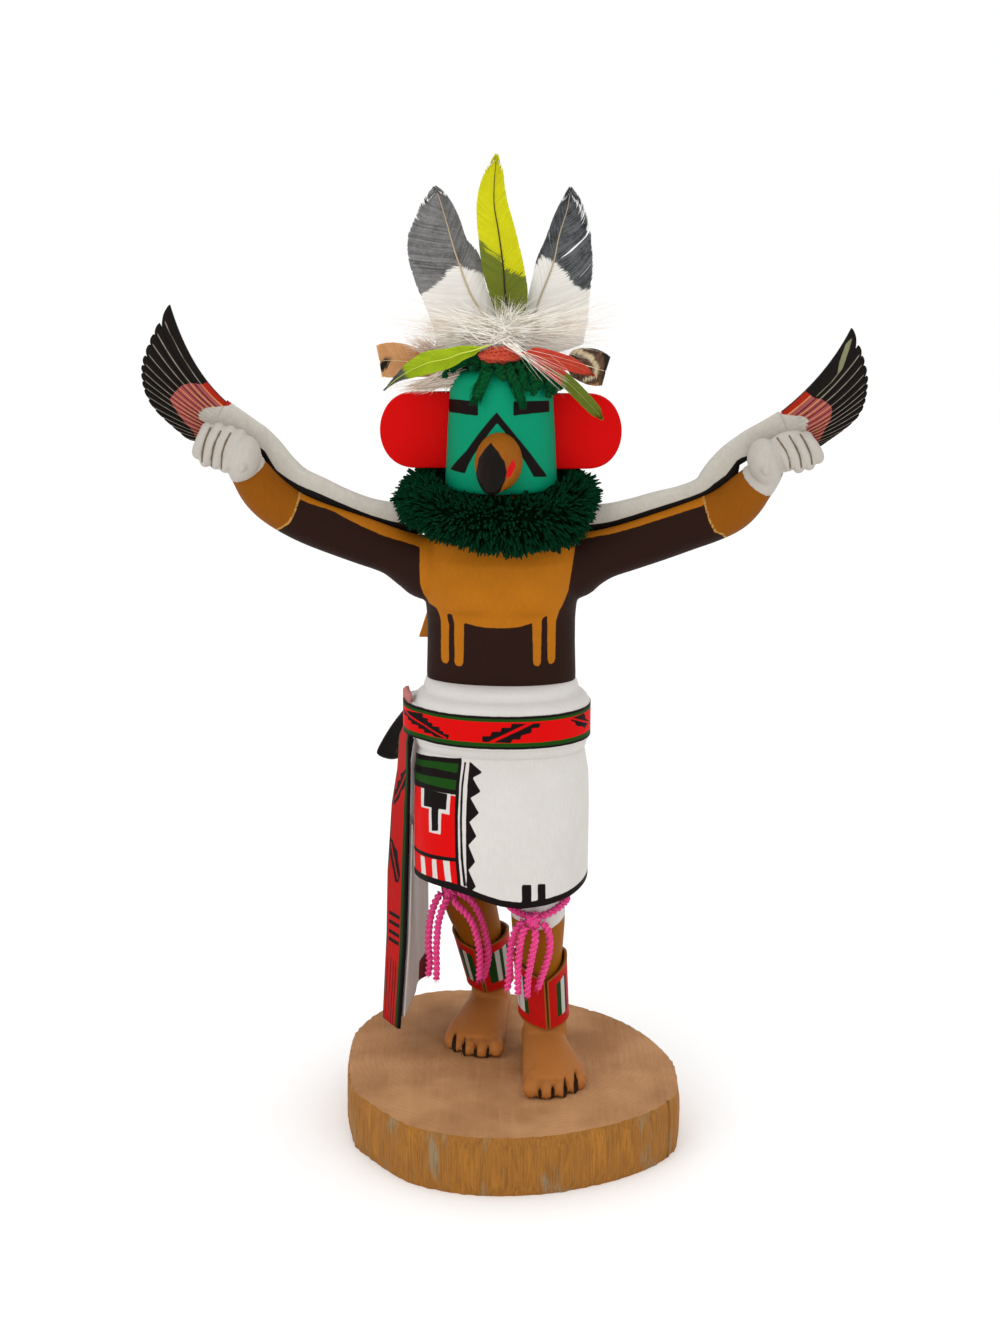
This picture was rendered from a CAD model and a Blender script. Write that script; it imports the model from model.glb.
import functools
import math

import bpy
import numpy as np
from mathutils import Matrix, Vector


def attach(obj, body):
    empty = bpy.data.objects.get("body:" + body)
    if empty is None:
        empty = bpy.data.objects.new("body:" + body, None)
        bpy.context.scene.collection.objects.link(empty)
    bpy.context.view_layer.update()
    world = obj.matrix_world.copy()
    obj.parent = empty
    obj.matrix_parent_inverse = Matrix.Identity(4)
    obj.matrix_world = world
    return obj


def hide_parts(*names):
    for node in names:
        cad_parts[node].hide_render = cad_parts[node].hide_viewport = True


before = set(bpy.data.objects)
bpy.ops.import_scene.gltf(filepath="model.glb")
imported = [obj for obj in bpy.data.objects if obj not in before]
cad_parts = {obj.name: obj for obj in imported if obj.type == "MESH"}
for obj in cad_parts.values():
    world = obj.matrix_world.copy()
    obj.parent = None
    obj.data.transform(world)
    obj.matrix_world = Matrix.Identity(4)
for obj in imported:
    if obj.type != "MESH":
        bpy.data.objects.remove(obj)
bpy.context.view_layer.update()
bpy.ops.object.select_all(action="DESELECT")

# Sizes are in millimetres until a mesh is made. Left and right are the viewer's.
mm = 0.001
bodyX, bodyY = -4.5, 14.0
bodyTurn = math.radians(-5)
bodyAcross = np.array((math.cos(bodyTurn), math.sin(bodyTurn), 0))
bodyBack = np.array((-math.sin(bodyTurn), math.cos(bodyTurn), 0))
rng = np.random.default_rng(11)


# Camera, floor and light
studio = {
    "cameraPlace": (-0.005, -0.9, 0.425), "cameraTarget": (-0.005, 0.0, 0.204), "lens": 60,
    "floorColour": "#fcfcfb", "wallStrength": 1.02, "lampTarget": (0, 0, 0.2),
    "lamps": (("keyLamp", (-0.75, -0.85, 0.75), 0.7, 2.3), ("fillLamp", (0.8, -0.8, 0.6), 0.7, 1.1),
              ("topLamp", (0.0, 0.1, 1.1), 0.8, 0.9), ("frontLamp", (0.0, -1.2, 0.35), 0.6, 0.5)),
}


def linear(hexColour):
    parts = [int(hexColour[i:i + 2], 16) / 255 for i in (1, 3, 5)]
    return [p / 12.92 if p <= 0.04045 else ((p + 0.055) / 1.055) ** 2.4 for p in parts] + [1.0]


# Fills a node's inputs, each with a number, a colour or a link from another node
def feed(node, inputs):
    for key, value in inputs.items() if isinstance(inputs, dict) else enumerate(inputs):
        if isinstance(value, bpy.types.NodeSocket):
            node.id_data.links.new(value, node.inputs[key])
        else:
            node.inputs[key].default_value = linear(value) if isinstance(value, str) else value


# Adds one node with its settings and links and returns one of its outputs
def addNode(tree, kind, inputs=(), out=0, **settings):
    node = tree.nodes.new("ShaderNode" + kind)
    for key, value in settings.items():
        setattr(node, key, value)
    feed(node, inputs)
    return node.outputs[out]


def newMaterial(name, roughness, specular):
    finish = bpy.data.materials.new(name)
    finish.use_nodes = True
    shader = finish.node_tree.nodes["Principled BSDF"]
    feed(shader, {"Roughness": roughness, "Specular IOR Level": specular})
    return finish, functools.partial(addNode, finish.node_tree), shader


# Lumps about that many millimetres across, stretched by a factor along each axis and turned
def lumps(add, size, detail=3.0, rough=0.55, stretch=(1, 1, 1), turn=(0, 0, 0)):
    place = add("Mapping", {"Vector": add("TexCoord", out="Object"), "Scale": stretch, "Rotation": turn})
    return add("TexNoise", {"Vector": place, "Scale": 1 / (size * mm), "Detail": detail, "Roughness": rough})


# A colour laid over another as a pattern runs from low to high, there by the share most
def glaze(add, under, over, pattern, low=0.0, high=1.0, most=1.0):
    share = add("MapRange", (pattern, low, high, 0.0, most))
    return add("Mix", {0: share, 6: under, 7: over}, 2, data_type="RGBA")


# A colour made darker or lighter by a tone
def dimmed(add, colour, tone):
    grey = add("CombineColor", (tone, tone, tone))
    return add("Mix", {0: 1.0, 6: colour, 7: grey}, 2, data_type="RGBA", blend_type="MULTIPLY")


# Matt acrylic paint on root wood: brush streaks along z, slight mottling, a faint sheen where it is thick.
# Each painted layer reads a distance in mm to its edge, positive inside, and wavers a little as a brush does
def woodPaint(name, base, layers=(), streak=(1, 1, 0.12), roughness=0.62, depth=0.05, mottle=0.12, waver=0.25,
              soft=0.12):
    finish, add, shader = newMaterial(name, roughness, 0.07)
    wave = add("Math", (lumps(add, 3.0, 2.0), 0.5), operation="SUBTRACT")
    wave = add("Math", (wave, waver * 2), operation="MULTIPLY")
    colour = base
    for field, over in layers:
        edge = add("Math", (add("Attribute", out="Fac", attribute_name=field), wave), operation="ADD")
        colour = glaze(add, colour, over, edge, -soft, soft)
    streaks, cloud = lumps(add, 0.9, 5.0, 0.6, streak), lumps(add, 14.0, 3.0)
    tone = add("Math", (streaks, 0.6), operation="MULTIPLY")
    tone = add("Math", (tone, add("Math", (cloud, 0.4), operation="MULTIPLY")), operation="ADD")
    tone = add("MapRange", (tone, 0.3, 0.7, 1 - mottle, 1 + mottle * 0.6))
    relief = add("Math", (streaks, add("Math", (cloud, 1.5), operation="MULTIPLY")), operation="ADD")
    feed(shader, {"Base Color": dimmed(add, colour, tone),
                  "Roughness": add("MapRange", (streaks, 0.3, 0.7, roughness - 0.08, roughness + 0.1)),
                  "Normal": add("Bump", {"Height": relief, "Strength": 1.0, "Distance": depth * mm})})
    return finish


def buildStudio():
    bpy.ops.object.camera_add(location=studio["cameraPlace"])
    camera = bpy.context.object
    camera.name = "photoCamera"
    aim = Vector(studio["cameraTarget"]) - Vector(studio["cameraPlace"])
    camera.rotation_euler = aim.to_track_quat("-Z", "Y").to_euler()
    camera.data.lens = studio["lens"]
    camera.data.sensor_width = 36
    camera.data.clip_start = 0.02
    bpy.context.scene.camera = camera
    bpy.ops.mesh.primitive_plane_add(size=40, location=(0, 0, 0))
    floor = bpy.context.object
    floor.name = "studioFloor"
    # Matt white paper sweep: no gloss, so it only takes soft shadows
    finish, add, shader = newMaterial("mattPaperSweep", 0.95, 0.1)
    feed(shader, {"Base Color": glaze(add, studio["floorColour"], "#ffffff", lumps(add, 60.0, 2.0))})
    floor.data.materials.append(finish)
    world = bpy.data.worlds.new("studioWhite")
    world.use_nodes = True
    feed(world.node_tree.nodes["Background"], ("#ffffff", studio["wallStrength"]))
    bpy.context.scene.world = world
    bpy.context.scene.view_settings.view_transform = "Standard"
    for name, place, size, power in studio["lamps"]:
        bpy.ops.object.light_add(type="AREA", location=place)
        lamp = bpy.context.object
        lamp.name = name
        lamp.data.size = size
        lamp.data.energy = power
        aim = Vector(studio["lampTarget"]) - Vector(place)
        lamp.rotation_euler = aim.to_track_quat("-Z", "Y").to_euler()
    print("camera, floor and lamps placed")


# A smooth line through points, and the rings and tubes laid along such lines
def smoothLine(points, pieces, closed=False):
    p = np.array(points, float)
    count = len(p)
    line = []
    for i in range(count if closed else count - 1):
        if closed:
            a, b, c, d = (p[(i + k) % count] for k in (-1, 0, 1, 2))
        else:
            a, b, c, d = p[max(i - 1, 0)], p[i], p[i + 1], p[min(i + 2, count - 1)]
        for step in range(pieces):
            t = step / pieces
            line.append(0.5 * (2 * b + (c - a) * t + (2 * a - 5 * b + 4 * c - d) * t * t
                               + (3 * b - a - 3 * c + d) * t ** 3))
    if not closed:
        line.append(p[-1])
    return np.array(line)


def ovalRing(centre, across, over, halfAcross, halfOver, sides, power=2.0):
    angle = 2 * np.pi * np.arange(sides) / sides
    u = np.sign(np.cos(angle)) * np.abs(np.cos(angle)) ** (2 / power) * halfAcross
    v = np.sign(np.sin(angle)) * np.abs(np.sin(angle)) ** (2 / power) * halfOver
    return np.array(centre) + u[:, None] * np.array(across) + v[:, None] * np.array(over)


def unit(v):
    v = np.array(v, float)
    return v / max(np.linalg.norm(v), 1e-12)


# How far along a line each of its points lies
def lengthsAlong(line):
    return np.concatenate([[0], np.cumsum(np.linalg.norm(np.diff(line, axis=0), axis=1))])


# A table read between its rows, which are in the order of their first column
def between(value, rows, column=1):
    return np.interp(value, [row[0] for row in rows], [row[column] for row in rows])


def makeObject(name, points, faces, smooth=True):
    data = bpy.data.meshes.new(name)
    data.from_pydata([tuple(p) for p in np.array(points) * mm], [], [tuple(int(i) for i in f) for f in faces])
    data.update()
    item = bpy.data.objects.new(name, data)
    bpy.context.scene.collection.objects.link(item)
    if smooth:
        data.shade_smooth()
    return item


def only(item):
    bpy.ops.object.select_all(action="DESELECT")
    item.select_set(True)
    bpy.context.view_layer.objects.active = item


def turnOutward(item):
    only(item)
    bpy.ops.object.mode_set(mode="EDIT")
    bpy.ops.mesh.select_all(action="SELECT")
    bpy.ops.mesh.normals_make_consistent(inside=False)
    bpy.ops.object.mode_set(mode="OBJECT")


def tubeFaces(rows, sides, start=0, closedRows=False):
    faces = []
    for row in range(rows if closedRows else rows - 1):
        near, far = start + row * sides, start + ((row + 1) % rows) * sides
        for step in range(sides):
            after = (step + 1) % sides
            faces.append((near + step, near + after, far + after, far + step))
    if not closedRows:
        faces.append(tuple(start + i for i in reversed(range(sides))))
        faces.append(tuple(start + (rows - 1) * sides + i for i in range(sides)))
    return faces


def loft(name, rings, closedRows=False):
    rings = [np.array(r) for r in rings]
    item = makeObject(name, np.concatenate(rings), tubeFaces(len(rings), len(rings[0]), 0, closedRows))
    turnOutward(item)
    return item


def spreadSections(sections, step, soften):
    s = np.array([list(row) + [0.0] * (4 - len(row)) for row in sections], float)
    s = s[np.argsort(s[:, 0], kind="stable")]
    heights = np.linspace(s[0, 0], s[-1, 0], int((s[-1, 0] - s[0, 0]) / step) + 1)
    out = [heights]
    for column in (1, 2, 3):
        values = np.interp(heights, s[:, 0], s[:, column])
        if soften:
            reach = max(1, int(3 * soften / step))
            kernel = np.exp(-0.5 * (np.arange(-reach, reach + 1) * step / soften) ** 2)
            padded = np.pad(values, reach, mode="edge")
            values = np.convolve(padded, kernel / kernel.sum(), mode="valid")
        out.append(values)
    return np.stack(out, axis=1)


# Horizontal sections on the figure's upright axis
def stackForm(name, sections, sides, power=2.0, step=1.0, soften=0.0):
    rings = [ovalRing((bodyX, bodyY + shift, z), bodyAcross, bodyBack, w, d, sides, power)
             for z, w, d, shift in spreadSections(sections, step, soften)]
    return loft(name, rings)


# Frames carried along a line without twisting
def framesAlong(line):
    count = len(line)
    along = np.array([unit(line[min(i + 1, count - 1)] - line[max(i - 1, 0)]) for i in range(count)])
    side = unit(np.cross(along[0], (0.3, 1, 0.2)))
    sides = []
    for direction in along:
        side = unit(side - direction * side.dot(direction))
        sides.append(side)
    sides = np.array(sides)
    return sides, np.cross(along, sides)


# A tube of changing radius along x, y, height and radius
def limbForm(name, route, sides=32, pieces=4):
    line = smoothLine(route, pieces)
    across, over = framesAlong(line[:, :3])
    return loft(name, [ovalRing(p[:3], a, b, p[3], p[3], sides) for p, a, b in zip(line, across, over)])


def ballForm(centre, half, turn=0.0):
    bpy.ops.mesh.primitive_uv_sphere_add(segments=40, ring_count=24, radius=1.0, location=np.array(centre) * mm,
                                         rotation=(0, turn, 0), scale=np.array(half) * mm)
    item = bpy.context.object
    bpy.ops.object.transform_apply(location=True, rotation=True, scale=True)
    return item


def joined(name, items):
    bpy.ops.object.select_all(action="DESELECT")
    for item in items:
        item.select_set(True)
    bpy.context.view_layer.objects.active = items[0]
    bpy.ops.object.join()
    items[0].name = name
    return items[0]


def useModifier(item, kind, **settings):
    only(item)
    step = item.modifiers.new(kind.lower(), kind)
    for key, value in settings.items():
        setattr(step, key, value)
    bpy.ops.object.modifier_apply(modifier=step.name)


# Overlapping round forms become one carved surface
def carve(item, voxel, rounds):
    useModifier(item, "REMESH", mode="VOXEL", voxel_size=voxel * mm)
    useModifier(item, "SMOOTH", factor=0.5, iterations=rounds)
    item.data.shade_smooth()


def pointsOf(item):
    co = np.zeros(len(item.data.vertices) * 3, np.float32)
    item.data.vertices.foreach_get("co", co)
    return co.reshape(-1, 3).astype(float) / mm


def setPoints(item, points):
    item.data.vertices.foreach_set("co", (np.array(points) * mm).astype(np.float32).ravel())
    item.data.update()


def setLayer(item, name, values):
    data = item.data.attributes.new(name, "FLOAT", "POINT").data
    data.foreach_set("value", np.array(values, np.float32))


def piece(item, slot, finish, *nodes):
    item.data.materials.clear()
    item.data.materials.append(finish)
    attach(item, "root")
    if nodes:
        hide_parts(*nodes)
    item.select_set(False)
    return item


# Flat shapes measured by distance: positive inside, in the units of u and v
def edgeDistance(points, u, v):
    best = np.full(len(u), 1e9)
    for (a, b), (c, d) in zip(points, points[1:]):
        e, f = c - a, d - b
        t = np.clip(((u - a) * e + (v - b) * f) / max(e * e + f * f, 1e-12), 0, 1)
        best = np.minimum(best, np.hypot(u - a - t * e, v - b - t * f))
    return best


def area(points, u, v):
    points = list(points)
    inside = np.zeros(len(u), bool)
    for (a, b), (c, d) in zip(points, points[1:] + points[:1]):
        crosses = ((b > v) != (d > v)) & (u < (c - a) * (v - b) / (d - b if d != b else 1e-12) + a)
        inside ^= crosses
    return np.where(inside, 1, -1) * edgeDistance(points + points[:1], u, v)


def stroke(points, width, u, v):
    return width / 2 - edgeDistance(points, u, v)


def anyOf(*fields):
    return np.maximum.reduce(fields)


# Angle round the figure's axis, 0 at the front and growing to the viewer's right
def angleOf(p):
    return np.degrees(np.arctan2(p[:, 0] - bodyX, -(p[:, 1] - bodyY)))


def scaled(points, factor):
    return [(a * factor, b) for a, b in points]


# Pink yarn under the knees: routes of the free ends in metres, from knot to cut end
yarn = {
    "radius": 1.6, "plies": 2, "pitch": 4.8,
    "strands": {
        "left_1": ((-0.0308, 0.012, 0.0976), (-0.0334, 0.0114, 0.0932), (-0.0354, 0.011, 0.0867),
            (-0.0362, 0.011, 0.0798), (-0.0364, 0.011, 0.0728), (-0.0359, 0.011, 0.066),
            (-0.0367, 0.011, 0.0597)),
        "left_2": ((-0.0276, 0.0102, 0.096), (-0.0302, 0.0084, 0.0912), (-0.0319, 0.0082, 0.0854),
            (-0.0326, 0.0082, 0.0785), (-0.033, 0.0082, 0.0715), (-0.0329, 0.0082, 0.065),
            (-0.033, 0.0082, 0.0589)),
        "left_3": ((-0.0234, 0.0102, 0.0986), (-0.0208, 0.0094, 0.0975), (-0.0172, 0.0092, 0.0943),
            (-0.0142, 0.0092, 0.0888), (-0.012, 0.0092, 0.082), (-0.0106, 0.0092, 0.075),
            (-0.0102, 0.0092, 0.0684), (-0.0122, 0.0092, 0.059)),
        "left_4": ((-0.025, 0.0084, 0.0956), (-0.0228, 0.006, 0.0934), (-0.0196, 0.0054, 0.0902),
            (-0.017, 0.0054, 0.0858), (-0.0152, 0.0054, 0.0802), (-0.0141, 0.0054, 0.0741),
            (-0.0138, 0.0054, 0.0676), (-0.0143, 0.0054, 0.06)),
        "right_1": ((0.005, -0.0138, 0.0942), (0.0016, -0.014, 0.0899), (-0.0001, -0.014, 0.084),
            (-0.0008, -0.014, 0.0775), (-0.001, -0.014, 0.071), (-0.0019, -0.014, 0.0631)),
        "right_2": ((0.006, -0.0168, 0.0926), (0.004, -0.0186, 0.0884), (0.0031, -0.0182, 0.082),
            (0.0027, -0.0174, 0.075), (0.0025, -0.0172, 0.0686), (0.0027, -0.0172, 0.0624)),
        "right_3": ((0.01, -0.0176, 0.0916), (0.0098, -0.0196, 0.0872), (0.0086, -0.0192, 0.0812),
            (0.0076, -0.0184, 0.0748), (0.0068, -0.0178, 0.0686), (0.0065, -0.0176, 0.0614)),
        "right_4": ((0.0129, -0.0144, 0.0936), (0.0154, -0.0152, 0.0902), (0.0162, -0.0154, 0.0844),
            (0.0154, -0.0152, 0.0782), (0.0136, -0.0148, 0.0718), (0.0111, -0.0144, 0.0638)),
    },
    "ties": {
        "left": {
            "centre": (-19.4, 28.7, 99.6), "radius": 13.6, "slope": -0.12, "knot": (-26.6, 13.2, 98.4),
        },
        "right": {
            "centre": (11.2, 1.1, 98.2), "radius": 12.6, "slope": 0.1, "knot": (9.0, -14.0, 95.4),
        },
    },
    "pink": "#f2559a", "deep": "#c01f66", "pale": "#fb9cc4",
}


# Plies wound round a line; returns points and faces
def twistedPlies(line, radius, plies, pitch, sides=8, taper=0.0):
    across, over = framesAlong(line)
    length = lengthsAlong(line)
    ply = radius * 0.68
    points, faces = [], []
    for k in range(plies):
        phase = 2 * np.pi * (k / plies + length / pitch)
        centre = line + (across * np.cos(phase)[:, None] + over * np.sin(phase)[:, None]) * radius * 0.42
        rings = []
        for i, middle in enumerate(centre):
            size = ply * (1 - taper * (i / (len(line) - 1)) ** 6)
            rings.append(ovalRing(middle, across[i], over[i], size, size, sides))
        faces += tubeFaces(len(rings), sides, sum(len(r) for r in points))
        points += rings
    return np.concatenate(points), faces


def yarnMaterial(name, colour, deep, pale, fibre=0.35):
    # Loosely spun wool: soft, no gloss, fibres a few tenths of a millimetre apart drawn a little coarse to show
    finish, add, shader = newMaterial(name, 0.95, 0.15)
    fibres = lumps(add, fibre, 4.0, 0.7)
    tone = glaze(add, glaze(add, deep, colour, fibres, 0.35, 0.6), pale, fibres, 0.58, 0.72)
    feed(shader, {"Base Color": tone, "Sheen Weight": 0.04, "IOR": 1.15,
                  "Normal": add("Bump", {"Height": fibres, "Strength": 1.0, "Distance": 0.18 * mm})})
    return finish


def hairs(roots, tips, sag, width, pieces=5, curl=0.0):
    # Fine ribbons from root to tip, bowed by sag and wavering by curl; returns points and faces
    roots, tips = np.array(roots), np.array(tips)
    count = len(roots)
    across = np.cross(tips - roots, rng.normal(size=(count, 3)))
    across /= np.maximum(np.linalg.norm(across, axis=1), 1e-9)[:, None]
    bow = np.cross(tips - roots, across)
    bow /= np.maximum(np.linalg.norm(bow, axis=1), 1e-9)[:, None]
    wave = rng.normal(size=(count, 1)) * curl
    lines = []
    for i in range(pieces + 1):
        t = i / pieces
        middle = roots + (tips - roots) * t + np.array(sag) * (t * t) + (bow * wave) * math.sin(math.pi * t)
        half = np.array(width).reshape(-1, 1) * 0.5 * (1 - 0.85 * t)
        lines.append(np.stack([middle - across * half, middle + across * half], axis=1))
    lines = np.stack(lines, axis=1)
    base = np.arange(count)[:, None] * (pieces + 1) * 2 + np.arange(pieces)[None, :] * 2
    faces = np.stack([base, base + 1, base + 3, base + 2], axis=2).reshape(-1, 4)
    return lines.reshape(-1, 3), faces


# Several parts, each points and faces, as one mesh
def gathered(name, parts):
    points, faces, start = [], [], 0
    for p, f in parts:
        faces += [tuple(int(i) + start for i in face) for face in f]
        points.append(p)
        start += len(p)
    return makeObject(name, np.concatenate(points), faces)


def buildYarnTies():
    # Acrylic craft yarn, spun from two plies
    finish = yarnMaterial("spunCraftYarn", yarn["pink"], yarn["deep"], yarn["pale"])
    for name, route in yarn["strands"].items():
        line = smoothLine(np.array(route) / mm, 24)
        points, faces = twistedPlies(line, yarn["radius"], yarn["plies"], yarn["pitch"], taper=0.15)
        end, back = line[-1], unit(line[-9] - line[-1])
        tips = end + np.clip(rng.normal(size=(14, 3)), -1.4, 1.4) * 0.9 - back * 1.4
        more, moreFaces = hairs(end + rng.uniform(-0.7, 0.7, (14, 3)) + back, tips, (0, 0, -0.2), 0.3, 3)
        faces = list(faces) + [tuple(f + len(points)) for f in moreFaces]
        strand = makeObject("yarnEnd" + name.title().replace("_", ""), np.concatenate([points, more]), faces)
        piece(strand, "pink yarn", finish, "tie_strand_" + name)
    for side, tie in yarn["ties"].items():
        centre = np.array(tie["centre"])
        turn = np.linspace(0, 2 * np.pi, 321)
        ring = centre + np.stack([np.cos(turn), np.sin(turn), 0 * turn], 1) * tie["radius"]
        ring[:, 2] += tie["slope"] * (ring[:, 0] - centre[0]) - 2.8 * np.clip(-np.sin(turn), 0, 1) ** 3
        knot = np.array(tie["knot"])
        away = unit((knot - centre) * (1, 1, 0))
        level = np.cross((0, 0, 1), away)
        parts = [twistedPlies(ring, yarn["radius"], 2, yarn["pitch"])]
        for k, (tilt, size) in enumerate(((0.2, 3.2), (1.2, 3.8), (2.2, 3.8), (1.7, 3.0))):
            loop = np.linspace(0, 2 * np.pi, 61)
            turned = level * math.cos(tilt) + np.array((0, 0, 1)) * math.sin(tilt)
            path = (knot - (0, 0, 0.9) + away * (0.3 * k - 0.3) + np.outer(np.cos(loop) * size * 0.75, turned)
                    + np.outer(np.sin(loop) * size * 0.62, away))
            parts.append(twistedPlies(path, 1.35, 2, 4.2))
        wrap = gathered("yarnTie" + side.capitalize(), parts)
        piece(wrap, "pink yarn", finish, "knee_tie_" + side)
    print("yarn ties and their eight ends made")


# The slice of log
logSlice = {
    "height": 25.7, "chamfer": 0.8, "sides": 288,
    "outline": ((71.5, -15), (70.5, -3), (64, 17), (55, 34), (43, 48.5), (27, 60.5), (5, 71), (-21, 77.5),
        (-44, 72), (-60, 52.5), (-70.5, 27), (-71.5, -5), (-68, -32), (-60.3, -46.5), (-42, -69),
        (-16.5, -79.5), (9, -79.3), (27.5, -74), (46.3, -64.4), (62, -51), (70.5, -36)),
    "pith": (-6.0, 4.0),
    "cracks": ((33, 47, 1.6, 11), (-66, 6, 0.8, 5), (58, -40, 0.7, 6), (-12, 70, 0.9, 7)),
    "sawn": "#b7875a", "sawnDark": "#996a40", "sawnPale": "#c99f6e", "side": "#9a6526",
    "sideDark": "#6b4519", "sidePale": "#8d7a5c", "sideWarm": "#ab7024", "check": "#5a3a1e",
    "ringPitch": 2.6, "sideCuts": 4, "insets": (0.006, 0.008, 0.01, 0.01, 0.01, 0.009, 0.008),
}


def buildLogSlice():
    line = smoothLine(logSlice["outline"], 14, closed=True)
    closedLine = np.vstack([line, line[:1]])
    around = lengthsAlong(closedLine)
    place = np.linspace(0, around[-1], logSlice["sides"] + 1)[:-1]
    rim = np.stack([np.interp(place, around, closedLine[:, k]) for k in (0, 1)], axis=1)
    height, chamfer = logSlice["height"], logSlice["chamfer"]
    bpy.ops.mesh.primitive_cylinder_add(vertices=logSlice["sides"], radius=0.07, depth=height * mm,
                                        location=(0, 0, height / 2 * mm), end_fill_type="NGON")
    item = bpy.context.object
    item.name = "logSlice"
    bpy.ops.object.transform_apply(location=True, rotation=True, scale=True)
    only(item)
    bpy.ops.object.mode_set(mode="EDIT")
    bpy.ops.mesh.select_all(action="DESELECT")
    bpy.ops.mesh.select_mode(type="FACE")
    bpy.ops.object.mode_set(mode="OBJECT")
    for face in item.data.polygons:
        face.select = abs(face.normal.z) > 0.9
    bpy.ops.object.mode_set(mode="EDIT")
    bpy.ops.mesh.inset(thickness=chamfer * mm)
    for inset in logSlice["insets"]:
        bpy.ops.mesh.inset(thickness=inset)
    bpy.ops.object.mode_set(mode="OBJECT")
    for edge in item.data.edges:
        a, b = (item.data.vertices[i].co for i in edge.vertices)
        edge.select = abs(a.z - b.z) > 0.01
    for face in item.data.polygons:
        face.select = abs(face.normal.z) < 0.5
    bpy.ops.object.mode_set(mode="EDIT")
    bpy.ops.mesh.select_mode(type="EDGE")
    bpy.ops.object.mode_set(mode="OBJECT")
    for edge in item.data.edges:
        a, b = (item.data.vertices[i].co for i in edge.vertices)
        edge.select = abs(a.z - b.z) > 0.01
    bpy.ops.object.mode_set(mode="EDIT")
    bpy.ops.mesh.subdivide(number_cuts=logSlice["sideCuts"])
    bpy.ops.object.mode_set(mode="OBJECT")
    p = pointsOf(item)
    turn = np.arctan2(p[:, 1], p[:, 0])
    reach = np.hypot(p[:, 0], p[:, 1])
    rimTurn = np.arctan2(rim[:, 1], rim[:, 0])
    order = np.argsort(rimTurn)
    edge = np.interp(turn, rimTurn[order], np.hypot(rim[:, 0], rim[:, 1])[order], period=2 * np.pi)
    share = reach / 70.0
    groove = (0.22 * np.sin(turn * 61 + 1.3 * np.sin(turn * 7)) + 0.18 * np.sin(turn * 97 + 2)
              + 0.12 * np.sin(turn * 23))
    side = np.clip((share - 0.9) * 10, 0, 1)
    new = edge * share + groove * side * (0.6 + 0.4 * np.sin(p[:, 2] * 0.35 + turn * 9))
    atEnd = (p[:, 2] < 0.01) | (p[:, 2] > height - 0.01)
    onRim = atEnd & (share > 0.995)
    new = np.where(onRim, new - chamfer, new)
    p[:, 0], p[:, 1] = np.cos(turn) * new, np.sin(turn) * new
    for x, y, wide, deep in logSlice["cracks"]:
        out = unit((x, y))
        across = np.abs(p[:, 0] * out[1] - p[:, 1] * out[0])
        inward = np.hypot(x, y) - (p[:, 0] * out[0] + p[:, 1] * out[1])
        near = np.clip(1 - across / wide, 0, 1) * np.clip(1 - inward / deep, 0, 1)
        p[:, 0] -= out[0] * near * 1.2
        p[:, 1] -= out[1] * near * 1.2
    setPoints(item, p)
    item.data.shade_smooth()
    only(item)
    bpy.ops.object.shade_smooth_by_angle(angle=math.radians(35))
    setLayer(item, "rimShare", np.hypot(p[:, 0], p[:, 1]) / edge)
    # Sawn cottonwood or pine, unsealed: rings 2.6 mm apart, saw marks, short checks from the rim;
    # the debarked side is darker with grain running upright
    finish, add, shader = newMaterial("sawnPineLog", 0.8, 0.25)
    split = add("SeparateXYZ", [add("TexCoord", out="Object")]).node.outputs
    x, y = (add("Math", (split[k], logSlice["pith"][k] * mm), operation="SUBTRACT") for k in (0, 1))
    squares = [add("Math", (side, side), operation="MULTIPLY") for side in (x, y)]
    radius = add("Math", [add("Math", squares, operation="ADD")], operation="SQRT")
    warp = add("Math", (lumps(add, 45.0, 2.0), 0.02), operation="MULTIPLY")
    warped = add("Math", (radius, warp), operation="ADD")
    phase = add("Math", (warped, 2 * math.pi / (logSlice["ringPitch"] * mm)), operation="MULTIPLY")
    rings = add("Math", [phase], operation="SINE")
    fine, cloud = lumps(add, 1.2, 4.0, 0.65), lumps(add, 30.0, 3.0)
    saw = lumps(add, 2.2, 3.0, 0.6, (1, 0.06, 1), (0, 0, 0.5))
    topTone = glaze(add, logSlice["sawnDark"], logSlice["sawn"], cloud, 0.35, 0.65)
    topTone = glaze(add, topTone, logSlice["sawnDark"], rings, 0.2, 1.0, 0.22)
    topTone = glaze(add, topTone, logSlice["sawnPale"], saw, 0.5, 0.75, 0.16)
    angle = add("Math", (y, x), operation="ARCTAN2")
    aroundPith = add("CombineXYZ", [add("Math", (angle, 0.055), operation="MULTIPLY")])
    checks = add("TexNoise", {"Vector": aroundPith, "Scale": 1 / (0.7 * mm), "Detail": 2.0, "Roughness": 0.5})
    nearRim = add("MapRange", (add("Attribute", out="Fac", attribute_name="rimShare"), 0.80, 1.0))
    checks = add("Math", (add("MapRange", (checks, 0.69, 0.74)), nearRim), operation="MULTIPLY")
    topTone = glaze(add, topTone, logSlice["check"], checks)
    grain = lumps(add, 0.6, 5.0, 0.7, (1, 1, 0.045))
    wide = lumps(add, 9.0, 3.0, 0.6, (1, 1, 0.25))
    sideTone = glaze(add, logSlice["side"], logSlice["sidePale"], wide, 0.56, 0.68)
    sideTone = glaze(add, sideTone, logSlice["sideWarm"], wide, 0.46, 0.36, 0.7)
    sideTone = glaze(add, sideTone, logSlice["sideDark"], grain, 0.45, 0.62, 0.6)
    upward = add("SeparateXYZ", [add("NewGeometry", out="Normal")], 2)
    relief = add("Math", (fine, 0.5), operation="MULTIPLY")
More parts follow.
